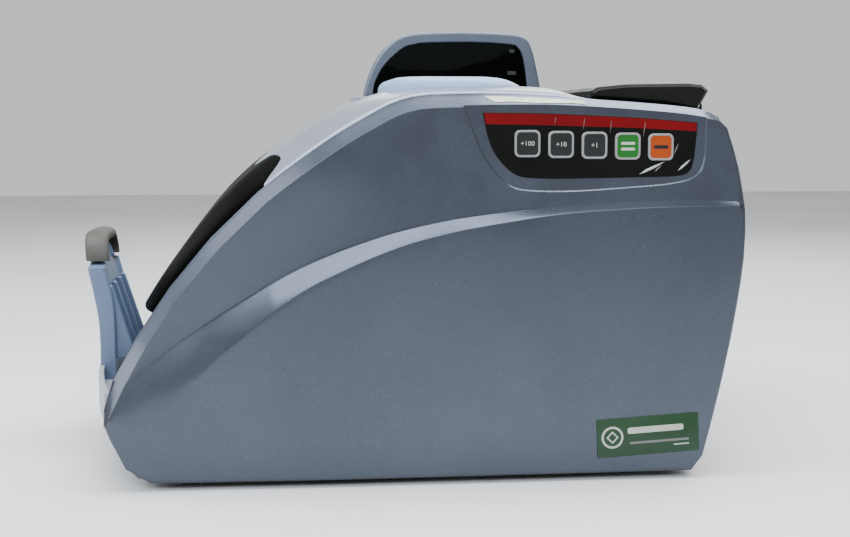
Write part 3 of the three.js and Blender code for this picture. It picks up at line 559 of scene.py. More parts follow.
FACE_FRACTIONS = (                   # rows of the face below the ledge, on it and above it
    (0.0, 0.02, 0.05, 0.1, 0.18, 0.28, 0.4, 0.52, 0.64, 0.76, 0.88, 0.96),
    (0.0, 0.06, 0.15, 0.25, 0.37, 0.5, 0.63, 0.76, 0.88, 0.96, 1.0),
    (0.03, 0.1, 0.22, 0.36, 0.5, 0.64, 0.78, 0.9, 0.97, 1.0))


def height_at(edge, x):
    """Height of a curve that runs left to right, at x."""
    for a, b in zip(edge, edge[1:]):
        if a.x <= x <= b.x and b.x > a.x:
            return mix(a.y, b.y, (x - a.x) / (b.x - a.x))
    return edge[0].y if x < edge[0].x else edge[-1].y


def face_depth(x, z):
    """How far the side face lies inside the outermost plane."""
    low, high = height_at(LEDGE_LOW, x), height_at(LEDGE_TOP, x)
    across_ledge = clamp((z - low) / max(high - low, 1e-5))
    from_front = along_x(x, *LEAN_FADES)
    arrived = smooth((z - place(0, LEDGE_STARTS).y) / LEDGE_RUN)
    hollow = HOLLOW_DEPTH * (1 - smooth(along_x(x, *HOLLOW_FADES)))
    above = clamp((z - high) / HOLLOW_RUN)
    upper = LEDGE_DEPTH + hollow * (1 - smooth(above))
    depth = mix(FACE_BACK, mix(FACE_BACK, upper, arrived), across_ledge ** LEDGE_POWER)
    softness = mix(*TUCK_SOFTNESS, clamp(from_front * 3))
    below = BASE_Z + TUCK_TOP - z
    lean = mix(*TUCK_LEAN, smooth(from_front))
    return depth + lean * 0.5 * (below + math.sqrt(below * below + softness * softness))


def rim_at(point, upper):
    """How far the rim flares out at a point of the outline, and how round its edge is."""
    if not upper:
        return 0.0, EDGE_ROUND
    ending = clamp(along_x(point.x, *RIM_ENDS)) ** 2
    starting = smooth(along_x(point.x, *RIM_BEGINS))
    flare = mix(RIM_RISE, REAR_RIM_RISE, smooth(along_x(point.x, *RIM_LOWERS))) * (1 - ending)
    return flare, mix(EDGE_ROUND, RIM_ROUND, starting * (1 - ending))


def ring_rows(points, outward, depths, flares, rounds):
    """Rows from the edge of the face, over its rounded edge and the bevelled rim, to the parting plane."""
    rows = []
    for k in range(1, RIM_STEPS + 1):
        row = []
        for p, n, d, flare, r in zip(points, outward, depths, flares, rounds):
            turn = math.atan2(RIM_DEPTH - d, flare) * k / RIM_STEPS
            across_at = p + n * (r * (math.sin(turn) - 1))
            row.append((max(across_at.x, FRONT_LIMIT), d + r * (1 - math.cos(turn)), across_at.y))
        rows.append(row)
    for along, depth_left, inward in RIM_ROWS:
        row = []
        for p, n, d, flare, r in zip(points, outward, depths, flares, rounds):
            start_depth = d + r * (1 - math.cos(math.atan2(RIM_DEPTH - d, flare)))
            start = r * (math.sin(math.atan2(RIM_DEPTH - d, flare)) - 1)
            at = p + n * (mix(start, flare, along) - inward)
            depth = mix(start_depth, RIM_DEPTH, along) if depth_left is None else RIM_DEPTH - depth_left
            row.append((max(at.x, FRONT_LIMIT), depth, at.y))
        rows.append(row)
    return rows


def side_columns():
    """Places along the side view, closer together towards the front and the rear."""
    first, last = place(-FRONT_REACH, 0).x, place(REAR_REACH, 0).x
    length = last - first
    head = [first + length * (0.5 - 0.5 * math.cos(math.pi * i / 18)) for i in range(7)]
    inner = [head[-1] + length * 0.76 * i / 58 for i in range(1, 59)]
    tail = [last - length * (0.5 - 0.5 * math.cos(math.pi * i / 44)) for i in range(13)][::-1]
    return [x for x in head + inner if x < tail[0] - 2 * MM] + tail


def side_cover(name, side):
    """A side moulding, side -1 or 1: a crowned face with a swept ledge, and a bevelled rim."""
    columns = side_columns()
    top = [Vector((x, height_at(UPPER_EDGE, x))) for x in columns]
    bottom = [Vector((x, height_at(LOWER_EDGE, x))) for x in columns]
    loop = top + bottom[-2:0:-1]
    outward = normals(loop, closed=True)
    flares, rounds = zip(*[rim_at(p, i < len(top)) for i, p in enumerate(loop)])
    inset_loop = [p - n * r for p, n, r in zip(loop, outward, rounds)]
    inset_top = inset_loop[:len(top)]
    inset_bottom = [inset_loop[0]] + inset_loop[len(top):][::-1] + [inset_loop[len(top) - 1]]
    grid = []
    for high, low in zip(inset_top, inset_bottom):
        x = (high.x + low.x) / 2
        tall = max(high.y - low.y, 1e-6)
        ledge_low = clamp(height_at(LEDGE_LOW, x), low.y + tall * 0.02, high.y - tall * 0.04)
        ledge_top = clamp(height_at(LEDGE_TOP, x), ledge_low + tall * 0.002, high.y - tall * 0.02)
        bounds = (low.y, ledge_low, ledge_top, high.y)
        column = []
        for zone, steps in enumerate(FACE_FRACTIONS):
            for t in steps:
                z = mix(bounds[zone], bounds[zone + 1], t)
                column.append(Vector((mix(low.x, high.x, (z - low.y) / tall), z)))
        grid.append(column)
    rows = [[(p.x, face_depth(p.x, p.y), p.y) for p in column] for column in grid]
    vertices, faces = strips(rows)
    depths = [face_depth(p.x, p.y) for p in inset_loop]
    ring = [[(p.x, d, p.y) for p, d in zip(inset_loop, depths)]]
    ring += ring_rows(loop, outward, depths, flares, rounds)
    ring_vertices, ring_faces = strips(ring, closed=True)
    start = len(vertices)
    vertices += ring_vertices
    faces += [tuple(start + i for i in face) for face in ring_faces]
    faces.append(tuple(range(len(vertices) - len(loop), len(vertices))))
    placed = [(x, side * (HALF_WIDTH - depth), z) for x, depth, z in vertices]
    return new_object(name, placed, faces, 28)


KEY_RECESS = without_repeats(
    curve((14.5, 222), (19, 208), (22.4, 200), (28, 186), (36, 174), (45, 166.3), (55, 163.9), (78, 163.4),
          (107, 165), (137, 167.5), (150.5, 171.5), (155.5, 180.5), (156.3, 201), (156.6, 222), steps=6),
    closed=True)


def widened(outline, distance):
    """The outline, listed anticlockwise or clockwise, moved outwards by the distance."""
    area = sum(a.x * b.y - b.x * a.y for a, b in zip(outline, outline[1:] + outline[:1]))
    sign = -1 if area > 0 else 1
    return [p + n * (sign * distance) for p, n in zip(outline, normals(outline, closed=True))]


RECESS_SECTION = (                   # y, and how much wider there
    (RECESS_Y, 0.0), (RECESS_Y - 0.15 * MM, 0.2 * MM), (FACE_Y + 0.1 * MM, 0.7 * MM),
    (FACE_Y - 0.05 * MM, 0.95 * MM), (FACE_Y - 4 * MM, 1.1 * MM))


def key_recess_cutter():
    """What the recess round the keys removes, wider towards the face."""
    return stacked("key_recess_cutter", [(widened(KEY_RECESS, wider), y) for y, wider in RECESS_SECTION], 35)


far_cover = shade(side_cover("far_side_moulding", 1), 25)
dress(far_cover, "machine", "body_blue", "far_side_cover")


# ---- Roof: crowned across the machine, split by the access cover's seam ----
COVER_Y = PARTING_Y - GAP
ROOF_EDGE = without_repeats(SLOPE + NOSE + TOP)
ROOF_LINE = [p + n * rim_at(p, True)[0] for p, n in zip(ROOF_EDGE, normals(ROOF_EDGE))]
ROOF_LINE += bend((161.2, 206.4), (167.6, 204), (169.4, 198.5))
ROOF_NORMALS = normals(ROOF_LINE)
ROOF_LENGTH = [0.0]
for before, after in zip(ROOF_LINE, ROOF_LINE[1:]):
    ROOF_LENGTH.append(ROOF_LENGTH[-1] + (after - before).length)
SHELL = 3 * MM
ACCESS_SHELL, ACCESS_EDGE = 2.6 * MM, 0.8 * MM
ACCESS_STEPS, TOP_STEPS = 26, 44                     # rows along each patch
TOP_END = 0.2 * MM                                   # the top cover stops this far before the line's end
SLOPE_FULLNESS = 5 * MM
CROWN_FADES, SLOPE_RUN = (70, 25), (-158, 150)
ROUNDING = ((0.0, 1.0), (0.12, 0.52), (0.4, 0.2), (1.0, 0.0))    # of a patch's edge: along it, down from it
ACCESS_BOTTOM = BASE_Z + 97.6 * MM
SEAM = spline([Vector((y * MM, u * MM)) for y, u in (
    (-132, 0), (-120, 13), (-106, 17), (-60, 8), (0, 0), (60, 8), (106, 17), (120, 13), (132, 0))], 8)


def crown(y, x):
    """Height of the roof's crown above its edge line, fuller along the slope."""
    inwards = clamp((COVER_Y - abs(y)) / CROWN_RUN)
    fading = 1 - smooth(along_x(x, *CROWN_FADES))
    along_slope = clamp(along_x(x, *SLOPE_RUN))
    fuller = SLOPE_FULLNESS * math.sin(math.pi * along_slope) * smooth(inwards * 0.9)
    return CROWN_HEIGHT * quarter_round(1 - inwards) * fading + fuller


def roof_point(s, y, lift=0.0):
    """A point of the roof, s metres along its side line."""
    s = clamp(s, 0, ROOF_LENGTH[-1])
    i = 0
    while i < len(ROOF_LENGTH) - 2 and ROOF_LENGTH[i + 1] < s:
        i += 1
    t = (s - ROOF_LENGTH[i]) / (ROOF_LENGTH[i + 1] - ROOF_LENGTH[i])
    edge = ROOF_LINE[i].lerp(ROOF_LINE[i + 1], t)
    out = ROOF_NORMALS[i].lerp(ROOF_NORMALS[i + 1], t).normalized()
    at = edge + out * (crown(y, edge.x) + lift)
    return Vector((at.x, y, at.y))


def station_near(x, z):
    """How far along the roof's side line a point of the side view is."""
    nearest = min(range(len(ROOF_LINE)), key=lambda i: (ROOF_LINE[i] - place(x, z)).length)
    return ROOF_LENGTH[nearest]


def station_at_height(height, y):
    """How far along the roof its outer face reaches the height, on the slope at this y."""
    low, high = 0.0, station_near(-57, 188)
    for _ in range(30):
        middle = (low + high) / 2
        if roof_point(middle, y).z < height:
            low = middle
        else:
            high = middle
    return high


SEAM_START = station_near(-94, 169)


def seam_station(y):
    return SEAM_START + height_at(SEAM, y)


def cross_stations():
    """Places across the roof, closer together towards the edges."""
    half = [COVER_Y * math.sin(math.pi / 2 * i / 18) for i in range(19)]
    fine = sorted(set(half + [COVER_Y - d * MM for d in (0.15, 0.5, 1.1, 2, 3.2)]))
    return [-y for y in fine[:0:-1]] + fine


def roof_patch(name, start, end, steps, thickness=SHELL, edge=0.6 * MM):
    """A closed shell of the roof between two seams, each a function of y, with rounded edges."""
    ys = cross_stations()
    outer, inner = [], []
    for i in range(-3, steps + 4):
        outer_row, inner_row = [], []
        for y in ys:
            s0, s1 = start(y), end(y)
            if i < 1:
                along, down = ROUNDING[i + 3]
                s = s0 + edge * along
            elif i >= steps:
                along, down = ROUNDING[steps + 3 - i]
                s = s1 - edge * along
            else:
                down = 0
                s = s0 + edge + (s1 - s0 - 2 * edge) * i / steps
            outer_row.append(roof_point(s, y, -edge * down))
            inner_row.append(roof_point(s, y * (1 - 0.002), -thickness))
        outer.append(outer_row)
        inner.append(inner_row)
    loops = []
    for j in range(len(outer[0])):
        loops.append([row[j] for row in outer] + [row[j] for row in inner[::-1]])
    return shell(name, loops, 30)


def block(name, x0, x1, y0, y1, z0, z1):
    """A plain block, used as a cutter or a blank, in the outlines' millimetres."""
    outline = line(((x0, z0), (x1, z0), (x1, z1), (x0, z1)))
    return prism(name, outline, y0 * MM, y1 * MM)


access = roof_patch("access_cover_shell", lambda y: station_at_height(ACCESS_BOTTOM, y),
                    lambda y: seam_station(y) - GAP, ACCESS_STEPS, ACCESS_SHELL, ACCESS_EDGE)
dress(shade(access, 30), "access_cover", "gloss_black", "front_access_cover")

# Blocks, in millimetres: x0, x1, y0, y1, z0, z1
ABOVE, BEHIND = 240, 230                             # past the top and the rear of everything they cut
TUB_HOLE = (-34.5, 94, -3.5, 63.5, 195, ABOVE)
SHELF_HOLE = (93, BEHIND, -118, 118, 180, ABOVE)
TUB_BLANK = (-34.3, 93.2, -3.3, 63.3, 201, 218.2)
TUB_HOLLOW = (-32.5, 92.5, -1.5, 61.5, 203.5, ABOVE)
HINGE_BORE = (-33.2, 91.6, 6.5, 11.5, 209.6, 214.4)
SHELF_Y, WELL_Y, WELL_WALL = 117.7, 97, 2.5
WELL_HOLE = (96.8, BEHIND, -WELL_Y, WELL_Y, 150, 260)
WELL_HOLLOW = (97, BEHIND, -WELL_Y, WELL_Y, 150, 260)
SHELF_LINE = ((93.4, 213.9), (110, 212.6), (140, 210), (153, 207.2), (165, 201), (168.6, 198.9))
WELL_LINE = ((93.9, 212), (93.9, 168), (106, 168), (152, 196.5), (152, 206.3), (110, 209.9))

top_shell = roof_patch("top_cover_shell", lambda y: seam_station(y) + GAP,
                       lambda y: ROOF_LENGTH[-1] - TOP_END, TOP_STEPS)
cut_away(top_shell, block("tub_hole", *TUB_HOLE))
cut_away(top_shell, block("shelf_hole", *SHELF_HOLE))
dress(shade(top_shell, 30), "machine", "silver", "top_cover")

tub = block("display_tub", *TUB_BLANK)
cut_away(tub, block("tub_hollow", *TUB_HOLLOW))
cut_away(tub, block("hinge_bore", *HINGE_BORE))
soften(tub, 0.8 * MM, 3)
dress(tub, "machine", "silver")

shelf_top = line(SHELF_LINE)
shelf = prism("hopper_shelf", shelf_top + [p - Vector((0, SHELL)) for p in shelf_top[::-1]],
              -SHELF_Y * MM, SHELF_Y * MM)
cut_away(shelf, block("well_hole", *WELL_HOLE))
soften(shelf, 0.9 * MM, 3)
dress(shelf, "machine", "silver")

well_half = (WELL_Y + WELL_WALL) * MM
well = prism("hopper_well_wall", line(WELL_LINE), -well_half, well_half)
cut_away(well, block("well_hollow", *WELL_HOLLOW))
soften(well, 0.5 * MM, 2)
dress(well, "machine", "silver")


# ---- Key field, label and sticker ----
FILM = 0.28 * MM
OVERLAY = without_repeats(
    curve((28.4, 207.3), (31.5, 193), (36.6, 182.4), (46.9, 172.6), (61, 170.2), (90, 170.2), (119, 170.7),
          (140, 171.3), (147.2, 173.8), (149.8, 180.4), (151.2, 194), (151.6, 201.8), steps=6)
    + curve((151.6, 201.8), (118.2, 204.4), (89.4, 205.8), (60.9, 206.9), (28.4, 207.3), steps=4),
    closed=True)
BAND = (curve((29.2, 206.8), (60.9, 206.4), (89.4, 205.3), (118.2, 203.9), (151.2, 201.3), steps=4)
        + curve((151.1, 196.6), (118.3, 198.4), (89.5, 199.3), (60.9, 200.1), (30.2, 200.7), steps=4))
FOLDS = (                            # start, end, width in mm, look; each look is a painted highlight on the fold
    ((86.5, 204.9), (85.6, 197.3), 0.5, glint_fold_look), ((102, 204), (101, 195.2), 0.45, glint_fold_look),
    ((121.7, 203.3), (120.1, 193), 0.55, glint_fold_look), ((70, 205.6), (69.1, 199.5), 0.4, glint_fold_look),
    ((118.2, 172.4), (133, 179.6), 1.5, bright_glint_fold_look), ((127, 173.6), (131.5, 178), 0.8, glint_fold_look),
    ((140.6, 174.2), (148.2, 181), 1.3, bright_glint_fold_look), ((138.2, 183.4), (140.7, 190), 0.8, glint_fold_look))
FOLD_OUTLINE = ((0, 0), (0.25, -0.8), (0.6, -1), (1, 0), (0.65, 0.8), (0.3, 1))   # along it and across it
FOLD_RISE = 0.22 * MM
FILM_FRONT = RECESS_Y - FILM
KEY_BOXES = [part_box(f"key_{i}") for i in range(1, 6)]
KEY_HALF = 7.3 * MM
KEY_TALLER = 0.3 * MM
KEY_FRONT = KEY_BOXES[0][0].y
KEY_CORNER = 3 * MM
KEY_SECTION = (                      # skirt, side, rim and field: how much wider, and behind the front, in mm
    (1.2, 5.4), (1.2, 4.4), (0, 4.3), (0, 0.45), (-0.15, 0.12), (-0.4, 0.0), (-0.95, 0.0),
    (-1.12, 0.12), (-1.22, 0.3), (-1.7, 0.34))
KEY_RIM_LOOPS = 8                    # of those, the ones up to the field
PRINT_BACK = KEY_FRONT + 0.345 * MM
FIGURE_HEIGHT = 3.9 * MM


def key_centre(index):
    low, high = KEY_BOXES[index]
    return Vector(((low.x + high.x) / 2, (low.z + high.z) / 2))


def rounded_square(centre, half, corner, steps=6, half_z=None):
    """A rectangle with round corners in the side view, anticlockwise."""
    out = []
    tall = half if half_z is None else half_z
    for quarter, (sx, sz) in enumerate(((1, 1), (-1, 1), (-1, -1), (1, -1))):
        for k in range(steps + 1):
            angle = math.pi / 2 * (quarter + k / steps)
            out.append(centre + Vector((sx * (half - corner) + corner * math.cos(angle),
                                        sz * (tall - corner) + corner * math.sin(angle))))
    return out


def key_well(index):
    """What a key needs behind the recess: its own hole, wider where its skirt travels."""
    centre = key_centre(index)
    tight, wide = KEY_HALF + GAP, KEY_HALF + 1.7 * MM
    hole = rounded_square(centre, tight, KEY_CORNER, half_z=tight + KEY_TALLER)
    skirt_room = rounded_square(centre, wide, KEY_CORNER, half_z=wide + KEY_TALLER)
    step = KEY_FRONT + 4 * MM
    return stacked("key_well", [(hole, RECESS_Y - 3 * MM), (hole, step), (skirt_room, step),
                                (skirt_room, -PARTING_Y + 1 * MM)])


near_cover = cut_away(side_cover("near_side_moulding", -1), key_recess_cutter())
for key_index in range(len(KEY_BOXES)):
    cut_away(near_cover, key_well(key_index))
dress(shade(near_cover, 25), "machine", "body_blue", "near_side_cover")


def flat_mark(name, outline, back, thickness=0.07 * MM):
    """A printed mark: a thin plate in front of y = back."""
    return stacked(name, [(outline, back), (outline, back - thickness)])


def key_overlay():
    film = stacked("key_film", [(OVERLAY, RECESS_Y - 0.03 * MM), (OVERLAY, FILM_FRONT + 0.1 * MM),
                                (widened(OVERLAY, -0.12 * MM), FILM_FRONT)])
    for i in range(len(KEY_BOXES)):
        hole = rounded_square(key_centre(i), KEY_HALF + GAP, KEY_CORNER, half_z=KEY_HALF + KEY_TALLER + GAP)
        cut_away(film, stacked("hole", [(hole, RECESS_Y + 3 * MM), (hole, RECESS_Y - 3 * MM)]))
    dress(shade(film), "machine", "gloss_black", "key_overlay", look=looks["film_black"])
    band = flat_mark("key_film_red_band", BAND, FILM_FRONT - 0.01 * MM)
    dress(band, "machine", "gloss_black", look=red_film)
    # The film's folds, each coloured with a painted highlight.
    for number, (start, end, width, look) in enumerate(FOLDS):
        crease(f"painted_glint_fold_{number + 1}", place(*start), place(*end), width * MM, look)


def crease(name, start, end, width, look):
    """A low raised fold of the film, pointed at both ends, coloured with a painted highlight."""
    along = end - start
    side = Vector((-along.y, along.x)).normalized()
    lower = [start + along * t + side * (w * width / 2) for t, w in FOLD_OUTLINE]
    centre = start + along * 0.5
    upper = [centre + (p - centre) * 0.5 for p in lower]
    fold = stacked(name, [(lower, FILM_FRONT), (upper, FILM_FRONT - FOLD_RISE)], 80)
    dress(fold, "machine", "gloss_black", look=look)


def key_cap(index, slot_name, marks=(), mark_look=print_look):
    """A key with a raised pale rim round its coloured field, and its printed bars."""
    centre = key_centre(index)
    levels = []
    for wider, y in KEY_SECTION:
        half = KEY_HALF + wider * MM
        corner = KEY_CORNER + wider * 0.6 * MM
        levels.append((rounded_square(centre, half, corner, half_z=half + KEY_TALLER), KEY_FRONT + y * MM))
    cap = stacked(f"key_{index + 1}_cap", levels, 50)
    dress(cap, f"key_{index + 1}_cap", slot_name, f"key_{index + 1}")
    cap.data.materials.append(key_rim_look)
    for polygon in cap.data.polygons:
        if polygon.index < KEY_RIM_LOOPS * len(levels[0][0]):
            polygon.material_index = 1
    for number, (dx, dz, width, height) in enumerate(marks):
        bar = rounded_square(centre + Vector((dx, dz)) * MM, width / 2 * MM, min(width, height) * 0.3 * MM, 2,
                             height / 2 * MM)
        dress(flat_mark(f"key_{index + 1}_mark_{number}", bar, PRINT_BACK), f"key_{index + 1}_cap",
              slot_name, look=mark_look)


def figures(name, words, centre, height, front):
    """Printed figures, as thin plates facing -Y."""
    data = bpy.data.curves.new(name, "FONT")
    data.body = words
    data.size = height
    data.align_x = "CENTER"
    data.align_y = "CENTER"
    data.extrude = 0.03 * MM
    data.resolution_u = 3
    text = into_scene(name, data)
    text.rotation_euler = (math.pi / 2, 0, 0)
    text.location = (centre.x, front, centre.y)
    bpy.context.view_layer.update()
    graph = bpy.context.evaluated_depsgraph_get()
    mesh = bpy.data.meshes.new_from_object(text.evaluated_get(graph), depsgraph=graph)
    mesh.transform(text.matrix_world)
    bpy.data.objects.remove(text)
    return finish_object(name, mesh, 30)


key_overlay()
for number, words in enumerate(("+100", "+10", "+1")):
    key_cap(number, "dark_key")
    printed = figures(f"key_{number + 1}_figures", words, key_centre(number), FIGURE_HEIGHT,
                      KEY_FRONT + 0.32 * MM)
    dress(printed, f"key_{number + 1}_cap", "dark_key", look=print_look)
key_cap(3, "green_key", [(0, 1.6, 8, 1.5), (0, -1.6, 8, 1.5)])
key_cap(4, "orange_key", [(0, 0, 8.4, 1.9)], looks["dark_key"])

LABEL_CENTRE = place(125.3, 22.2)
LABEL_TILT = math.radians(3.3)
LABEL_HALF = (30, 11.25)             # in mm, along and up
LABEL_BARS = ((4.5, 3.4, 33, 3.6), (6.5, -3.9, 35, 1.3), (19.5, -6.6, 9, 0.7))   # centre, width and height
LABEL_FRONT = -HALF_WIDTH + 0.12 * MM


def on_label(outline):
    """Turns an outline drawn about the label's centre, in millimetres, onto the label."""
    turn_x = Vector((math.cos(LABEL_TILT), math.sin(LABEL_TILT)))
    turn_z = Vector((-turn_x.y, turn_x.x))
    return [LABEL_CENTRE + turn_x * (p.x * MM) + turn_z * (p.y * MM) for p in outline]


def ring_mark(name, centre, outer, inner, sides):
    """A flat printed ring with the given number of sides."""
    loops = []
    for radius, raised_by in ((outer, 0), (outer, 0.06), (inner, 0.06), (inner, 0)):
        outline = [Vector((centre[0] + radius * math.cos(math.tau * k / sides),
                           centre[1] + radius * math.sin(math.tau * k / sides))) for k in range(sides)]
        loops.append([(p.x, LABEL_FRONT - raised_by * MM, p.y) for p in on_label(outline)])
    loops.append(loops[0])
    vertices, faces = strips(loops, closed=True)
    return new_object(name, vertices, faces, 30)


def label():
    origin = Vector((0, 0))
    half_x, half_z = LABEL_HALF
    edge = on_label(rounded_square(origin, half_x, 0.8, 4, half_z))
    face = on_label(rounded_square(origin, half_x - 0.15, 0.7, 4, half_z - 0.15))
    plate = stacked("label_film", [(edge, -HALF_WIDTH + 0.45 * MM), (edge, LABEL_FRONT + 0.08 * MM),
                                   (face, LABEL_FRONT)])
    dress(plate, "machine", "label_green", "label_plate")
    marks = [ring_mark("label_ring", (-21, 0.2), 6.4, 5.2, 32),
             ring_mark("label_diamond", (-21, 0.2), 3.6, 2.5, 4)]
    for number, (dx, dz, width, height) in enumerate(LABEL_BARS):
        bar = on_label(rounded_square(Vector((dx, dz)), width / 2, height * 0.3, 2, height / 2))
        marks.append(flat_mark(f"label_bar_{number}", bar, LABEL_FRONT, 0.06 * MM))
    for mark in marks:
        dress(mark, "machine", "label_green", look=dim_print_look if "bar_1" in mark.name else print_look)


label()


def rim_point(x, along, lift):
    """A point of the near cover's bevelled rim, `along` from its inner edge (0) to the roof (1)."""
    z = height_at(UPPER_EDGE, x)
    ahead, behind = height_at(UPPER_EDGE, x + 2 * MM), height_at(UPPER_EDGE, x - 2 * MM)
    out = Vector((behind - ahead, 4 * MM)).normalized()
    flare = rim_at(Vector((x, z)), True)[0]
    slant = Vector((RIM_DEPTH - LEDGE_DEPTH, flare)).normalized()
    at = Vector((x, z)) + out * (flare * along + slant.x * lift)
    return Vector((at.x, FACE_Y + (RIM_DEPTH - LEDGE_DEPTH) * along - slant.y * lift, at.y))


STICKER_THICKNESS = 0.14 * MM
STICKER_FRONT, STICKER_REAR = (35.6, 30), (86.9, 85.7)         # x at its low edge and at its high edge


def rim_sticker():
    """A small sticker on the rim, with a wavy lower edge and slanting ends."""
    rows = []
    columns, rows_across = 30, 4
    for i in range(columns + 1):
        t = i / columns
        low = 0.26 + 0.05 * math.sin(t * 9)
        high = 0.80 - 0.12 * t
        x0, x1 = (mix(front, rear, t) for front, rear in zip(STICKER_FRONT, STICKER_REAR))
        across = [(place(mix(x0, x1, j / rows_across), 0).x, mix(low, high, j / rows_across))
                  for j in range(rows_across + 1)]
        top = [rim_point(x, up, STICKER_THICKNESS) for x, up in across]
        under = [rim_point(x, up, 0.0) for x, up in across]
        rows.append(top + under[::-1])
    dress(shell("rim_sticker", rows, 40), "machine", "silver", look=sticker_look)


rim_sticker()


# ---- Display on its hinge ----
DISPLAY_FRONT, DISPLAY_BACK = (corner.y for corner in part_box("display_housing"))
HINGE = sum(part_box("display_hinge_pin"), Vector()) / 2
HINGE_BORE_RADIUS = 2.3 * MM
DISPLAY_PRINTS = ((68.5, 248, 3.4, 2.2), (68.5, 233.8, 5.6, 2.4), (59.5, 226, 9, 1.1), (36, 226, 6, 1.1),
                  (10, 226, 8, 1.1))                 # centre, width and height of each unlit mark
DISPLAY_OUTLINE = without_repeats(
    curve((-29, 209), (-29, 219), (-25, 233), (-18.8, 245), (-9.3, 254.6), (0, 258.5), (14, 260), (40, 260.5),
          (67, 259.5), (77, 257), (81.5, 250.5), (85, 238), (88, 222), (88.5, 209), steps=6), closed=True)
WINDOW_OUTLINE = without_repeats(
    curve((-22.5, 215), (-21.8, 226), (-15.4, 238.2), (-3.8, 249), (4, 251.8), (14, 253.0), (44, 253.4),
          (66, 252.2), (72.5, 250), (76.5, 240), (79.5, 215), steps=6), closed=True)


def rounded_slab(outline, front, back, front_round, back_round, steps=5):
    """Loops of a slab with round front and back edges."""
    turns = [math.pi / 2 * k / steps for k in range(steps + 1)]

    def ring(face, radius, into, turn):
        return widened(outline, -radius * (1 - math.sin(turn))), face + into * radius * (1 - math.cos(turn))

    return ([ring(front, front_round, 1, turn) for turn in turns]
            + [ring(back, back_round, -1, turn) for turn in turns[::-1]])


def rod_along_x(name, y, z, radius, x0, x1, sides=24):
    rows = [[(x, y + radius * math.cos(math.tau * k / sides), z + radius * math.sin(math.tau * k / sides))
             for k in range(sides)] for x in (x0, x1)]
    return capped(name, rows)


def display():
    housing = stacked("display_shell", rounded_slab(DISPLAY_OUTLINE, DISPLAY_FRONT, DISPLAY_BACK,
                                                    1.8 * MM, 2.4 * MM))
    pocket = [(widened(WINDOW_OUTLINE, wider * MM), DISPLAY_FRONT + y * MM)
              for wider, y in ((0.9, -1), (0.7, 0), (0.25, 0.5), (0.25, 2.2))]
    cut_away(housing, stacked("pocket", pocket))
    bore_ends = ORIGIN_X - 60 * MM, ORIGIN_X + 120 * MM
    cut_away(housing, rod_along_x("bore", HINGE.y, HINGE.z, HINGE_BORE_RADIUS, *bore_ends))
    dress(shade(housing, 28), "display", "body_blue", "display_housing", look=looks["display_grey"])
    glass = stacked("display_glass", rounded_slab(WINDOW_OUTLINE, DISPLAY_FRONT + 0.35 * MM,
                                                  DISPLAY_FRONT + 2.1 * MM, 0.25 * MM, 0.1 * MM, 2), 40)
    dress(glass, "display", "gloss_black", "display_window")
    ghost_back = DISPLAY_FRONT + 0.352 * MM
    for number, (x, z, width, height) in enumerate(DISPLAY_PRINTS):
        patch = rounded_square(place(x, z), width / 2 * MM, 0.3 * MM, 2, height / 2 * MM)
        dress(flat_mark(f"display_print_{number}", patch, ghost_back, 0.03 * MM), "display", "gloss_black",
              look=looks["ghost_print"])


display()


# ---- Plinth in front of the display: a low dome, longest at its rear end ----
PLINTH = {"x0": -23, "x1": 58, "y0": -122, "y1": -10, "corner": 30}
PLINTH_LEVELS = (                    # height, then how far the front, rear and sides have drawn in
    (217.4, 0, 0, 0), (221.2, 0.1, 0.3, 0.1), (223.2, 0.6, 2.2, 0.5), (225.0, 1.8, 6.0, 1.3),
    (226.4, 3.8, 10.4, 2.6), (227.2, 6.6, 14.8, 4.4), (227.6, 10.4, 19.2, 7.4), (227.78, 16.0, 24.5, 12.0),
    (227.84, 24.0, 32.0, 20.0))


def plinth():
    """The dome, from its levels."""
    rows = []
    for z, front, rear, sides in PLINTH_LEVELS:
        x0, x1 = PLINTH["x0"] + front, PLINTH["x1"] - rear
        y0, y1 = PLINTH["y0"] + sides, PLINTH["y1"] - sides
        centre = Vector((x0 + x1, y0 + y1)) / 2
        corner = max(6, PLINTH["corner"] - (front + rear) / 2)
        outline = rounded_square(centre, (x1 - x0) / 2, corner, 10, (y1 - y0) / 2)
        rows.append([(place(p.x, z).x, p.y * MM, place(p.x, z).y) for p in outline])
    dress(shade(capped("plinth_dome", rows, 40), 35), "machine", "pale_blue", "display_plinth")


plinth()


# ---- Stacker plate and its soft edging ----
PLATE_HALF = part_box("stacker_plate")[1].y
LIP_HALF, LIP_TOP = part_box("stacker_plate_lip")[1].yz
PLATE_FOOT, PLATE_TOP, SHOULDER = place(0, 42).y, place(0, 124.9).y, place(0, 114).y
TONGUE_HALF, TONGUE_TOP, TONGUE_CORNER = 25 * MM, place(0, 125).y, 12 * MM
PLATE_EDGE, PLATE_DISH = 1.1 * MM, 2.0 * MM
RIB_LINE = ((-191, 101), (-188.2, 101), (-176, 62.5), (-177.6, 55.3), (-191, 55.3))
RIB_HALF = 2.2
LIP_BULGE = 0.82                     # below 1, the edging's section is squarer than an ellipse
LIP_FOOT, LIP_INNER_CORNER = place(0, 114.4).y, 14 * MM
LIP_X, LIP_HALF_X, LIP_HALF_OUT = (-197.4, -199.3), (7.2, 7.4), (3.1, 4.3)   # at its foot and at its top, mm
LIP_SWELL = (0.62, 0.9, 1.0)         # of the section at its very end, next to it and beyond
PLATE_OUTER = curve((-196, 42), (-196.2, 75), (-199, 95), (-202.6, 114), (-203.2, 128), steps=6)
PLATE_INNER = curve((-186.4, 42), (-186.4, 62), (-187, 88), (-190.5, 105), (-197, 128), steps=6)


def x_at(edge, z):
    """Where an edge that rises in the side view is, at height z."""
    for a, b in zip(edge, edge[1:]):
        if a.y <= z <= b.y and b.y > a.y:
            return mix(a.x, b.x, (z - a.y) / (b.y - a.y))
    return edge[0].x if z < edge[0].y else edge[-1].x


def arch_half(z, half, top, corner):
    """Half width of a tongue with round upper corners, at height z."""
    above = clamp((z - (top - corner)) / corner)
    return half - corner * (1 - quarter_round(above))


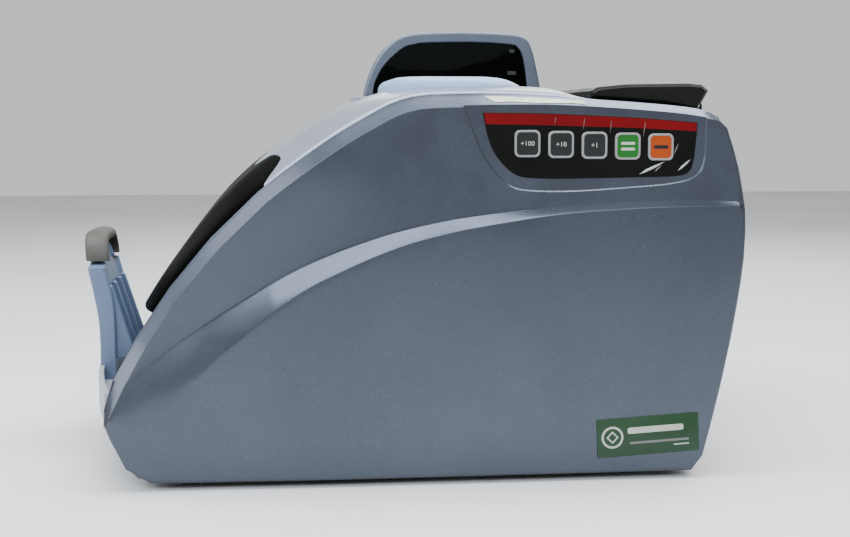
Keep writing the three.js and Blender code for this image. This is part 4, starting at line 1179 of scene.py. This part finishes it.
def plate_half(z):
    """Half width of the plate at height z: its shoulders run into a round-topped tongue."""
    tongue = arch_half(z, TONGUE_HALF, TONGUE_TOP, TONGUE_CORNER)
    return mix(PLATE_HALF, tongue, smooth((z - SHOULDER + 1.0 * MM) / (0.9 * MM)))


def stacker_plate():
    """A dished plate with rounded edges: the inner face sinks between its rims."""
    heights = [mix(PLATE_FOOT, PLATE_TOP, 1 - (1 - k / 44) ** 1.35) for k in range(45)]
    across_steps = [math.sin(math.pi / 2 * k / 14) for k in range(-14, 15)]
    outer, inner = [], []
    for z in heights:
        half = plate_half(z)
        near_top = smooth((PLATE_TOP - z) / (14 * MM))
        outer_row, inner_row = [], []
        for t in across_steps:
            y = half * t
            inwards = clamp((half - abs(y)) / PLATE_EDGE)
            round_off = PLATE_EDGE * (1 - quarter_round(1 - inwards))
            dish = PLATE_DISH * smooth((half - abs(y) - 3 * MM) / (9 * MM)) * near_top
            outer_row.append((x_at(PLATE_OUTER, z) + round_off, y, z))
            inner_row.append((x_at(PLATE_INNER, z) - round_off - dish, y, z))
        outer.append(outer_row)
        inner.append(inner_row)
    loops = [row + back[::-1] for row, back in zip(outer, inner)]
    blade = shade(shell("stacker_plate_blade", loops, 35), 35)
    dress(blade, "machine", "pale_blue", "stacker_plate", look=plate_look)
    for number, y in enumerate((-36, -13, 13, 36)):
        rib = prism(f"stacker_plate_rib_{number + 1}", line(RIB_LINE), (y - RIB_HALF) * MM,
                    (y + RIB_HALF) * MM)
        soften(rib, 0.9 * MM, 3)
        dress(rib, "machine", "pale_blue", look=plate_look)


def stacker_lip():
    """A soft edging of rounded section, swept up one side of the tongue, over its top and down."""
    middle_half, middle_top = (LIP_HALF + 25.3 * MM) / 2, (LIP_TOP + place(0, 125.3).y) / 2
    turn_y, turn_z = -middle_half + LIP_INNER_CORNER, middle_top - LIP_INNER_CORNER
    path = [(-middle_half, mix(LIP_FOOT + 1 * MM, turn_z, k / 5)) for k in range(5)]
    for k in range(13):
        angle = math.pi - math.pi / 2 * k / 12
        path.append((turn_y + LIP_INNER_CORNER * math.cos(angle), turn_z + LIP_INNER_CORNER * math.sin(angle)))
    path += [(-y, z) for y, z in path[::-1]]
    rows = []
    sides = 20
    last = len(path) - 1
    for i, (y, z) in enumerate(path):
        before, after = path[max(i - 1, 0)], path[min(i + 1, last)]
        along = Vector((after[0] - before[0], after[1] - before[1])).normalized()
        out = Vector((-along.y, along.x))
        ending = min(i, last - i)
        swell = LIP_SWELL[min(ending, 2)]
        fraction = clamp((z - LIP_FOOT) / (LIP_TOP - LIP_FOOT))
        centre_x = mix(*(place(x, 0).x for x in LIP_X), fraction)
        half_x = mix(*LIP_HALF_X, fraction) * MM * swell
        half_out = mix(*LIP_HALF_OUT, smooth(fraction * 1.4 - 0.3)) * MM * swell
        row = []
        for k in range(sides):
            angle = math.tau * k / sides
            sx, so = (math.copysign(abs(v) ** LIP_BULGE, v) for v in (math.cos(angle), math.sin(angle)))
            row.append((centre_x + half_x * sx, y + out.x * half_out * so, z + out.y * half_out * so))
        rows.append(row)
    dress(shade(capped("stacker_plate_edging", rows), 50), "machine", "beige_rubber", "stacker_plate_lip")


stacker_plate()
stacker_lip()


# ---- Every remaining CAD piece, with rounded edges ----
SLOT_OF = {row["node"]: row["material_slot"] for row in frame["record"]["subparts"]}
BODY_OF = {node: body for body, nodes in frame["record"]["behaviour"]["bodies"].items() for node in nodes}
EDGE_WIDTH = {"hopper_flap": 1.0, "stacker_tray": 0.8, "rear_cover": 0.6, "front_lower_cover": 0.8}
USUAL_EDGE = 0.4


def refine(node):
    """A copy of a CAD node with rounded edges and its slot's finish."""
    source = NODES[node]
    work = bmesh.new()
    work.from_mesh(source.data)
    bmesh.ops.remove_doubles(work, verts=work.verts, dist=2e-6)
    bmesh.ops.dissolve_limit(work, angle_limit=math.radians(1.5), verts=work.verts, edges=work.edges)
    mesh = bpy.data.meshes.new(f"{node}_fine")
    work.to_mesh(mesh)
    work.free()
    made = into_scene(f"{node}_fine", mesh)
    made.matrix_world = source.matrix_world
    bpy.context.view_layer.update()
    soften(made, EDGE_WIDTH.get(node, USUAL_EDGE) * MM, 2)
    dress(made, BODY_OF[node], SLOT_OF[node], node)


replaced = {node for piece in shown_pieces() for node in piece.get("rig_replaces", [])}
for node in sorted(NODES):
    if node not in replaced:
        refine(node)


# ---- Floor, lights and camera ----
FLOOR_REACH, FLOOR_TILES = 3.0, 8
CAMERA_AT = Vector((-0.0743, -0.906, 0.207))
CAMERA_YAW, CAMERA_PITCH = math.radians(6.18), math.radians(6.12)
CAMERA_SENSOR, CAMERA_LENS = 36, 58.66
COOL = (0.9, 0.95, 1.0)
LIGHTS = (                           # name, place, aim, size, power in watts, colour
    ("overhead", (0.05, -0.05, 1.2), (0.05, 0, 0.1), (1.8, 0.7), 50, COOL),
    ("front_high", (-0.25, -1.45, 0.95), (0, 0, 0.1), (1.8, 0.6), 30, (0.82, 0.9, 1.0)),
    ("left_high", (-1.42, -0.55, 0.95), (-0.1, -0.1, 0.15), (0.8, 1.2), 20, COOL),
    ("back", (0.5, 1.3, 0.9), (0, 0, 0.12), (1.4, 0.7), 10, (1, 1, 1)))
WORLD_COLOUR, WORLD_STRENGTH = (0.97, 0.98, 1.0, 1), 0.75


def light(name, place_at, aim, size, power, colour):
    """A rectangular soft light turned towards its aim."""
    data = bpy.data.lights.new(name, "AREA")
    data.shape = "RECTANGLE"
    data.size, data.size_y = size
    data.energy = power
    data.color = colour
    lamp = into_scene(name, data)
    lamp.location = place_at
    lamp.rotation_euler = (Vector(aim) - Vector(place_at)).to_track_quat("-Z", "Y").to_euler()


def floor():
    steps = [FLOOR_REACH * (2 * i / FLOOR_TILES - 1) for i in range(FLOOR_TILES + 1)]
    vertices, faces = strips([[Vector((x, y, 0)) for x in steps] for y in steps])
    made = new_object("floor", vertices, faces)
    made.data.materials.append(floor_material())


def camera():
    level = math.cos(CAMERA_PITCH)
    ahead = Vector((math.sin(CAMERA_YAW) * level, math.cos(CAMERA_YAW) * level, -math.sin(CAMERA_PITCH)))
    data = bpy.data.cameras.new("camera")
    data.sensor_width = CAMERA_SENSOR
    data.lens = CAMERA_LENS
    viewer = into_scene("camera", data)
    viewer.location = CAMERA_AT
    viewer.rotation_euler = ahead.to_track_quat("-Z", "Y").to_euler()
    bpy.context.scene.camera = viewer


floor()
camera()
for row in LIGHTS:
    light(*row)
world = bpy.data.worlds.new("studio")
bpy.context.scene.world = world
world.use_nodes = True
background = world.node_tree.nodes["Background"]
background.inputs["Color"].default_value = WORLD_COLOUR
background.inputs["Strength"].default_value = WORLD_STRENGTH
